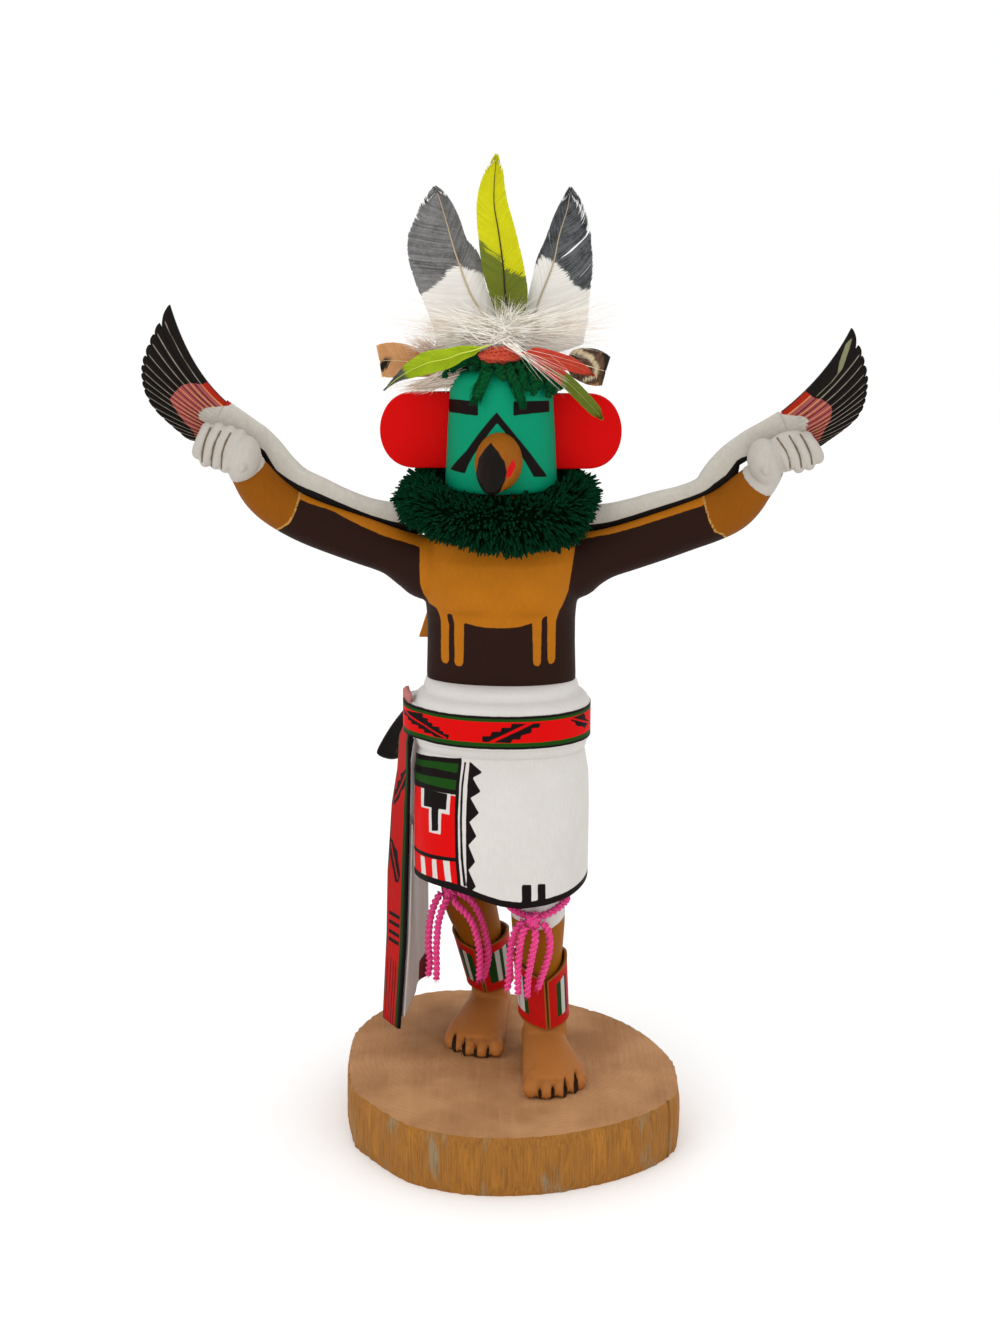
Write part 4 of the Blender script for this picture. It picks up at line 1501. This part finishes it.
def buildCrown():
    rings = [ovalRing((bodyX, bodyY, z), (1, 0, 0), (0, 1, 0), r, r, 96) for z, r in crown["core"]]
    core = loft("core", rings)
    parts = []
    for k in range(crown["strands"]):
        turn = 360 * k / crown["strands"] - 180 + rng.normal() * 3
        low = between(turn, crown["hangs"]) + rng.normal() * 0.8
        swirl = rng.normal() * 10
        line = []
        for r, z in crown["drape"]:
            angle = math.radians(turn + swirl * (1 - r / 25) + rng.normal() * 2)
            reach, z = r + rng.normal() * 0.5, z + rng.normal() * 0.5
            if z < low and len(line) > 2:
                break
            line.append((bodyX + reach * math.sin(angle), bodyY - reach * math.cos(angle), z))
        parts.append(twistedPlies(smoothLine(line, 5), rng.uniform(1.1, 1.5), 2, rng.uniform(5, 7), 5))
    # Loose fibres stand off the strands, and the two ends are unspun into brushes
    surface = np.concatenate([p for p, f in parts])
    roots = surface[rng.integers(0, len(surface), crown["fuzz"])]
    out = roots - (bodyX, bodyY, 312)
    out /= np.linalg.norm(out, axis=1)[:, None]
    tips = roots + out * rng.uniform(0.3, 1.2, (len(roots), 1)) + rng.normal(size=out.shape) * 0.9
    parts.append(hairs(roots, tips, (0, 0, -0.2), 0.34, 2))
    for top, low, spread in crown["ends"]:
        count = crown["endHairs"]
        roots = np.array(top) + rng.normal(size=(count, 3)) * (1.0, 0.5, 0.7)
        tips = (np.array(low) + np.clip(rng.normal(size=(count, 3)), -1.6, 1.6) * (spread * 0.62, 0.6, 0.5)
                - np.outer(rng.random(count) ** 2 * 6, (0, 0, -1)))
        parts.append(hairs(roots, tips, (0, -0.3, 0), rng.uniform(0.45, 0.8, count), 6, 0.7))
        halfway = np.array(top) * 0.5 + np.array(low) * 0.5 - (0, 0.5, 0)
        middle = smoothLine((top, halfway, np.array(low) + (0, 0, 3)), 8)
        parts.append(twistedPlies(middle, spread * 0.8, 3, 7.0, 7, taper=0.4))
    item = joined("crownYarn", [gathered("laid", parts), core])
    finish = yarnMaterial("greenCraftYarn", crown["colour"], crown["dark"], crown["pale"])
    piece(item, "green yarn", finish, "crown_yarn")
    centre, half, parts = np.array(crown["bindCentre"]), np.array(crown["bindHalf"]), []
    for k in range(crown["bindTurns"]):
        level = -0.86 + 1.72 * k / (crown["bindTurns"] - 1)
        size = math.sqrt(max(0.05, 1 - level * level))
        turn = np.linspace(0, 2 * np.pi, 65)
        tilt = rng.normal() * 0.12
        line = centre + np.stack([np.cos(turn) * (half[0] - 0.5) * size, np.sin(turn) * (half[1] - 0.5) * size,
                                  np.full(65, level * (half[2] - 0.4)) + np.cos(turn + k) * 0.7 + tilt], axis=1)
        parts.append(twistedPlies(line, 0.9, 2, 4.0, 6))
    item = joined("redBinding", [gathered("wound", parts), ballForm(centre, half - 0.8)])
    finish = yarnMaterial("redWoolWrap", crown["red"], crown["deepRed"], crown["paleRed"])
    piece(item, "red yarn", finish, "feather_binding")
    print("crown yarn and binding made")


# White down between the feathers, with the barred feathers' pinkish fluff at the left.
# Each bunch: hairs, where they start and end, their scatter, width, bow and share of pink
down = {
    "bunches": ((620, (-6, 3, 341), (-29, 2, 344), (3, 2.4, 2.4), (8, 3, 5.5), 0.26, 1.4, 0), (620,
        (-2, 3, 341), (22, 2, 344), (3, 2.4, 2.4), (8, 3, 6), 0.26, 1.4, 0), (60, (-6, 1, 342),
        (-38, -2, 348), (2, 2, 2), (4, 3, 5.5), 0.22, 2.0, 0),
        (70, (-2, 1, 342), (34, -2, 347), (2, 2, 2), (5, 3, 7), 0.22, 2.0, 0), (620, (-4, 1, 340),
        (-4, -1, 341), (4, 2.4, 2), (6, 2.4, 3.2), 0.3, 1.2, 0), (150, (-3, 4, 343), (0, 1.5, 353),
        (1.6, 1, 1), (5, 1.5, 3), 0.26, 2.6, 0), (44, (-14, 3, 339), (-43, 1, 344), (4, 2, 3), (6, 2, 6),
        0.26, 1.6, 0.9), (44, (6, 3, 339), (38, 1, 346), (4, 2, 3), (5, 2, 6), 0.26, 1.6, 0.9), (26,
        (-1, -9, 338), (19, -13.4, 325), (1.4, 1, 1), (6, 0.6, 3.4), 0.3, 1.2, 0), (130, (-29, 9, 331),
        (-39, 8.4, 337), (2, 1, 1.6), (3, 0.8, 2.4), 0.5, 1.0, 1), (320, (-24, 9, 323), (-38, 8.4, 318.6),
        (2.4, 1, 1.6), (5.5, 0.8, 1.2), 0.45, 0.9, 0.7)),
    "low": (-50, -14, 315.5), "high": (43, 10, 358), "white": "#f6f1e8", "shade": "#d6cab8",
    "pink": "#dcc4b2",
}


def buildDown():
    parts, shares = [], []
    for count, start, end, scatter, spread, width, curl, pink in down["bunches"]:
        roots = np.array(start) + rng.normal(size=(count, 3)) * scatter
        tips = np.array(end) + rng.normal(size=(count, 3)) * spread
        tips = np.clip(tips, down["low"], down["high"])
        p, f = hairs(roots, tips, (0, 0, -0.8), width * rng.uniform(0.7, 1.3, count), 6, curl)
        parts.append((p, f))
        shares.append(np.full(len(p), pink))
    item = gathered("whiteDown", parts)
    setLayer(item, "pinkShare", np.concatenate(shares))
    # Marabou down: fine silky white barbs that pass the light from one to the next
    finish, add, shader = newMaterial("marabouDown", 0.7, 0.1)
    tone = glaze(add, down["white"], down["shade"], lumps(add, 6.0, 3.0), 0.45, 0.75)
    tone = glaze(add, tone, down["pink"], add("Attribute", out="Fac", attribute_name="pinkShare"))
    relief = lumps(add, 0.4, 2.0)
    feed(shader, {"Base Color": tone, "Sheen Weight": 0.3,
                  "Normal": add("Bump", {"Height": relief, "Strength": 1.0, "Distance": 0.03 * mm})})
    piece(item, "white down", finish, "down_fluff")
    print("down made")


# Real feathers: a quill and two rows of overlapping barbs. Each row of a line: x, y, z and the vane's reach
# on either side; each paint: its outline in x and z, its colour
plumes = {
    "grey": {
        "node": "feather_grey", "slot": "grey feather", "barbs": 230, "angle": 0.13,
        "line": ((-4, 15.5, 327.5, 24, 3), (-7, 15.5, 336, 25, 4), (-11.5, 15.6, 346.4, 22.5, 6),
            (-17.2, 15.8, 356.1, 19.6, 7), (-21.8, 16.1, 368.1, 19.6, 9), (-24.4, 16.6, 376, 19, 6.2),
            (-26.6, 17.2, 384, 16.4, 5.6), (-28.4, 17.8, 390, 11.4, 4.6), (-30, 18.4, 395, 6.8, 3),
            (-31.3, 19, 398.4, 0.7, 0.5)),
        "base": "#8a8886", "streak": "#4e4d4e", "quill": "#b9a584", "thick": 0.6,
        "paint": ((((-45, 345), (-36.6, 355.8), (-33.7, 358.2), (-29.6, 361.4), (-25.5, 365.9),
            (-21.8, 367.5), (-17.3, 365.5), (-13.2, 364.7), (-5, 358), (-5, 320), (-45, 320)), "#e9e5df"),),
        "jag": 1.4,
    },
    "yellow": {
        "node": "feather_yellow", "slot": "yellow feather", "barbs": 210, "angle": 0.11,
        "line": ((-1, 12, 331.4, 0.6, 0.6), (-1.5, 12, 343, 1.4, 2), (-1.7, 12, 349.6, 5, 7.2),
            (-2.9, 12, 356.4, 6.4, 9.3), (-3.7, 12.1, 367.1, 8.6, 8.4), (-5.7, 12.6, 381.7, 8.4, 6.8),
            (-7.3, 13.2, 391, 7.3, 5.7), (-7.4, 13.7, 399, 5.8, 4.4), (-6.9, 14.1, 406, 3.4, 3),
            (-6.4, 14.4, 411.2, 0.5, 0.5)),
        "base": "#d6d200", "streak": "#bcba00", "quill": "#2c2010", "thick": 0.5,
        "paint": ((((-20, 378), (-12.7, 376.9), (-10.3, 373.7), (-6.2, 371.5), (-4.4, 371), (-3.6, 366.5),
            (1.1, 364.9), (5.2, 363.7), (14, 363), (14, 325), (-20, 325)), "#66701a"),),
        "jag": 2.2,
    },
    "dark": {
        "node": "feather_dark", "slot": "grey feather", "barbs": 230, "angle": 0.19,
        "line": ((2, 15.5, 327, 3, 22), (5, 15.5, 336, 4, 24), (9, 15.6, 347, 5, 22.6),
            (11.5, 15.7, 354.4, 5, 21.4), (16.6, 16.1, 367.5, 7, 17), (18.9, 16.7, 378.2, 5, 13.8),
            (20.6, 17.3, 384, 4.6, 12), (22.2, 17.9, 389, 4, 8.4), (23.2, 18.4, 394, 2.6, 4.6),
            (23.6, 19, 398, 0.5, 0.5)),
        "base": "#6e7072", "streak": "#23262a", "quill": "#a89a80", "thick": 0.6,
        "paint": ((((0, 362), (9, 366), (12.2, 371.1), (16.7, 369.1), (22.0, 364.7), (25.3, 359.8),
            (28.6, 357.4), (36, 359.0), (36, 320), (0, 320)), "#e8e5df"),),
        "jag": 1.4, "slit": (0.6, 0.09),
    },
    "lime": {
        "node": "feather_lime", "slot": "yellow feather", "barbs": 150, "angle": 0.14,
        "line": ((-9.5, -4.5, 337, 0.4), (-15.8, -4.7, 334.8, 1.9), (-21, -4.9, 333.6, 3),
            (-26.2, -5.1, 331.6, 4), (-33.1, -5.3, 330.2, 4.6), (-36.7, -5.4, 328.9, 4.2),
            (-42, -5.5, 326.4, 3), (-47.1, -5.6, 323.2, 1.3), (-51.7, -5.6, 319.1, 0.3)),
        "base": "#a8bf10", "streak": "#879d0c", "quill": "#c3cf4a", "thick": 0.35,
        "paint": ((((-44.8, 345), (-45.4, 330), (-42.5, 324.4), (-46, 316), (-60, 310), (-60, 345)),
            "#5c6152"),),
        "jag": 1.6,
    },
    "parrot": {
        "node": "feather_parrot", "slot": "red feather", "barbs": 130, "angle": 0.13,
        "line": ((3.6, -9.8, 334.6, 0.8), (9, -9.9, 333.4, 3.1), (15.4, -10, 331.9, 3.4),
            (22, -9.9, 330.2, 3), (28, -9.5, 327.8, 2.1), (32.8, -9.2, 325.3, 0.4)),
        "base": "#d24632", "streak": "#a8301f", "quill": "#c25a40", "thick": 0.35, "paint": (), "jag": 1,
    },
    "parrotGreen": {
        "node": "feather_parrot", "slot": "red feather", "barbs": 150, "angle": 0.13,
        "line": ((4.5, -8.6, 333.4, 0.9), (10, -8.8, 330.8, 2.2), (15, -9, 328, 2.7),
            (20, -9.1, 324.4, 2.8), (25.5, -9, 319.4, 2.8), (30.5, -8.8, 314.2, 2.7),
            (34, -8.5, 310.4, 2.2), (36.2, -8.2, 307.6, 0.5)),
        "base": "#6c7a20", "streak": "#545f14", "quill": "#7d8638", "thick": 0.4,
        "paint": ((((0, 345), (24, 330), (20.5, 325), (18.5, 318), (0, 318)), "#b83222"),), "jag": 2.4,
    },
    "pheasantLeft": {
        "node": "feather_pheasant_left", "slot": "barred feather", "barbs": 130, "angle": 0.2,
        "line": ((-27, 12, 325, 1.5), (-34, 11.7, 326.2, 4), (-40, 11.3, 328, 6), (-46, 11, 329, 7.1),
            (-51.2, 11, 329.2, 7.2), (-54.2, 11, 328.8, 6.6)),
        "base": "#d8a878", "streak": "#bd7f48", "quill": "#e0bd90", "thick": 0.35,
        "paint": ((((-49.6, 330), (-52.2, 330.4), (-56, 325.6), (-54.6, 323.6), (-51.6, 326.2)), "#17110f"),
            (((-26, 320), (-33, 320), (-38, 333), (-26, 334)), "#ecd6c2")),
        "jag": 1.2,
    },
    "pheasantRight": {
        "node": "feather_pheasant_right", "slot": "barred feather", "barbs": 130, "angle": 0.2,
        "line": ((20.5, 8, 328.4, 3), (26, 7.4, 328.2, 6), (31.4, 7, 327.2, 7.4), (35.4, 6.8, 326, 7.2),
            (38.2, 6.8, 325.2, 6.2)),
        "base": "#7c5d44", "streak": "#2e221b", "quill": "#ead9b4", "thick": 0.4,
        "paint": ((((21, 334), (27, 334.5), (33, 331.6), (35.6, 327), (34.6, 322.4), (29, 320.4),
            (29, 321.8), (33, 323.6), (33.6, 327), (31, 330.2), (26, 332.4), (21, 332)), "#e8d6b0"),
            (((36.4, 334), (37.4, 328), (36.8, 320), (42, 320), (42, 334)), "#241a16"),
            (((24, 322), (31, 319.6), (36, 320.6), (35, 317), (24, 317)), "#c08a5c")),
        "jag": 1.0,
    },
}


def buildPlume(name, plume):
    rows = [row if len(row) == 5 else (*row, row[3]) for row in plume["line"]]
    line = smoothLine(rows, 12)
    length = lengthsAlong(line[:, :3])
    total = length[-1]

    def at(share):
        place = np.clip(share, 0, 1) * total
        return np.stack([np.interp(place, length, line[:, k]) for k in range(5)], axis=-1)

    taper = plume["thick"] * (1 - 0.8 * np.linspace(0, 1, 60))
    shaft = np.concatenate([at(np.linspace(0, 0.97, 60))[:, :3], taper[:, None]], axis=1)
    shaft[:, 1] -= 0.35
    rachis = limbForm("shaft", shaft, 10, 1)
    barbs, pieces = plume["barbs"], 7
    points, across, tone = [], [], []
    for side, column in ((-1, 4), (1, 3)):
        s = np.linspace(0.02, 0.99, barbs)
        slope = plume["angle"] * (1 - 0.35 * s)
        wide = total / barbs * rng.uniform(2.6, 3.4, barbs)
        uneven = rng.normal(size=barbs) * 0.004
        trim = rng.uniform(0.97, 1.0, barbs)
        lift = rng.uniform(-0.2, 0.2, barbs)
        gap, swing = np.zeros(barbs), np.zeros(barbs)
        if "slit" in plume and side == -1:
            centre, half = plume["slit"]
            gap = np.clip(1 - np.abs(s - centre) / half, 0, 1) * np.sign(s - centre)
            swing = np.exp(-((s - centre) / np.where(s > centre, 0.13, 0.5)) ** 2)
        shade = rng.random(barbs)
        for k in range(pieces + 1):
            t = k / pieces
            reach = np.minimum(s + slope * t * (1 + 0.45 * swing * t) + uneven * t * t
                               + gap * 0.016 * min(1, t * 2), 1.0)
            spine = at(reach)
            direction = at(np.minimum(reach + 0.01, 1))[:, :3] - at(np.maximum(reach - 0.01, 0))[:, :3]
            direction /= np.maximum(np.linalg.norm(direction, axis=1), 1e-9)[:, None]
            out = np.cross(direction, (0, 1, 0))
            out /= np.maximum(np.linalg.norm(out, axis=1), 1e-9)[:, None]
            middle = spine[:, :3] + out * (side * spine[:, column] * t * trim)[:, None]
            middle[:, 1] += 0.1 * spine[:, column] * t * t + lift * t
            half = direction * (wide * 0.5 * (1 + 0.5 * t + 0.5 * swing * t))[:, None]
            points.append(np.stack([middle - half + (0, 0.12, 0), middle + half - (0, 0.12, 0)], axis=1))
            across.append(np.full((barbs, 2), t))
            tone.append(np.stack([shade, shade], axis=1))
    grid = np.array(points).reshape(2, pieces + 1, barbs, 2, 3)
    index = np.arange(2 * (pieces + 1) * barbs * 2).reshape(2, pieces + 1, barbs, 2)
    near, far = index[:, :-1], index[:, 1:]
    quads = np.stack([near[..., 0], near[..., 1], far[..., 1], far[..., 0]], axis=-1)
    vane = makeObject("vane", grid.reshape(-1, 3), quads.reshape(-1, 4))
    p, tone = pointsOf(vane), np.array(tone).ravel()
    layers = {"barbTone": tone, "nearQuill": 1 - np.array(across).ravel(), "isShaft": np.zeros(len(p))}
    for order, (outline, colour) in enumerate(plume["paint"]):
        layers["paint" + str(order)] = area(outline, p[:, 0], p[:, 2]) + (tone - 0.5) * plume["jag"]
    onShaft = {"isShaft": 1.0, "barbTone": 0.5}
    for label, values in layers.items():
        setLayer(vane, label, values)
        setLayer(rachis, label, np.full(len(rachis.data.vertices), onShaft.get(label, -9.0)))
    item = joined(name + "Feather", [vane, rachis])
    # A real feather: silky barbs that catch a soft light along their run, and a horny quill
    finish, add, shader = newMaterial(name + "Vane", 0.6, 0.2)
    own, isShaft = (add("Attribute", out="Fac", attribute_name=field) for field in ("barbTone", "isShaft"))
    cloud = add("Math", (lumps(add, 0.8, 4.0, 0.7), 0.5), operation="SUBTRACT")
    cloud = add("Math", (lumps(add, 5.0, 3.0, 0.6), cloud), operation="ADD")
    mixed = add("Math", (own, 0.5), operation="MULTIPLY")
    mixed = add("Math", (mixed, add("Math", (cloud, 0.8), operation="MULTIPLY")), operation="ADD")
    tone = glaze(add, plume["base"], plume["streak"], mixed, 0.3, 1.0)
    for order, (outline, colour) in enumerate(plume["paint"]):
        field = add("Attribute", out="Fac", attribute_name="paint" + str(order))
        tone = glaze(add, tone, colour, field, -0.4, 0.5)
    tone = dimmed(add, tone, add("MapRange", (own, 0.0, 1.0, 0.9, 1.06)))
    feed(shader, {"Base Color": glaze(add, tone, plume["quill"], isShaft, 0.4, 0.6),
                  "Normal": add("Bump", {"Height": own, "Strength": 1.0, "Distance": 0.04 * mm})})
    piece(item, plume["slot"], finish, plume["node"])


def buildFeathers():
    for name, plume in plumes.items():
        buildPlume(name, plume)
    print("feathers made")


buildStudio()
buildYarnTies()
buildLogSlice()
buildFigure()
buildFists()
buildMask()
buildKilt()
buildLegs()
buildBeak()
buildBoards()
buildWings()
buildTail()
buildSash()
buildCuffs()
buildRuff()
buildCrown()
buildDown()
buildFeathers()
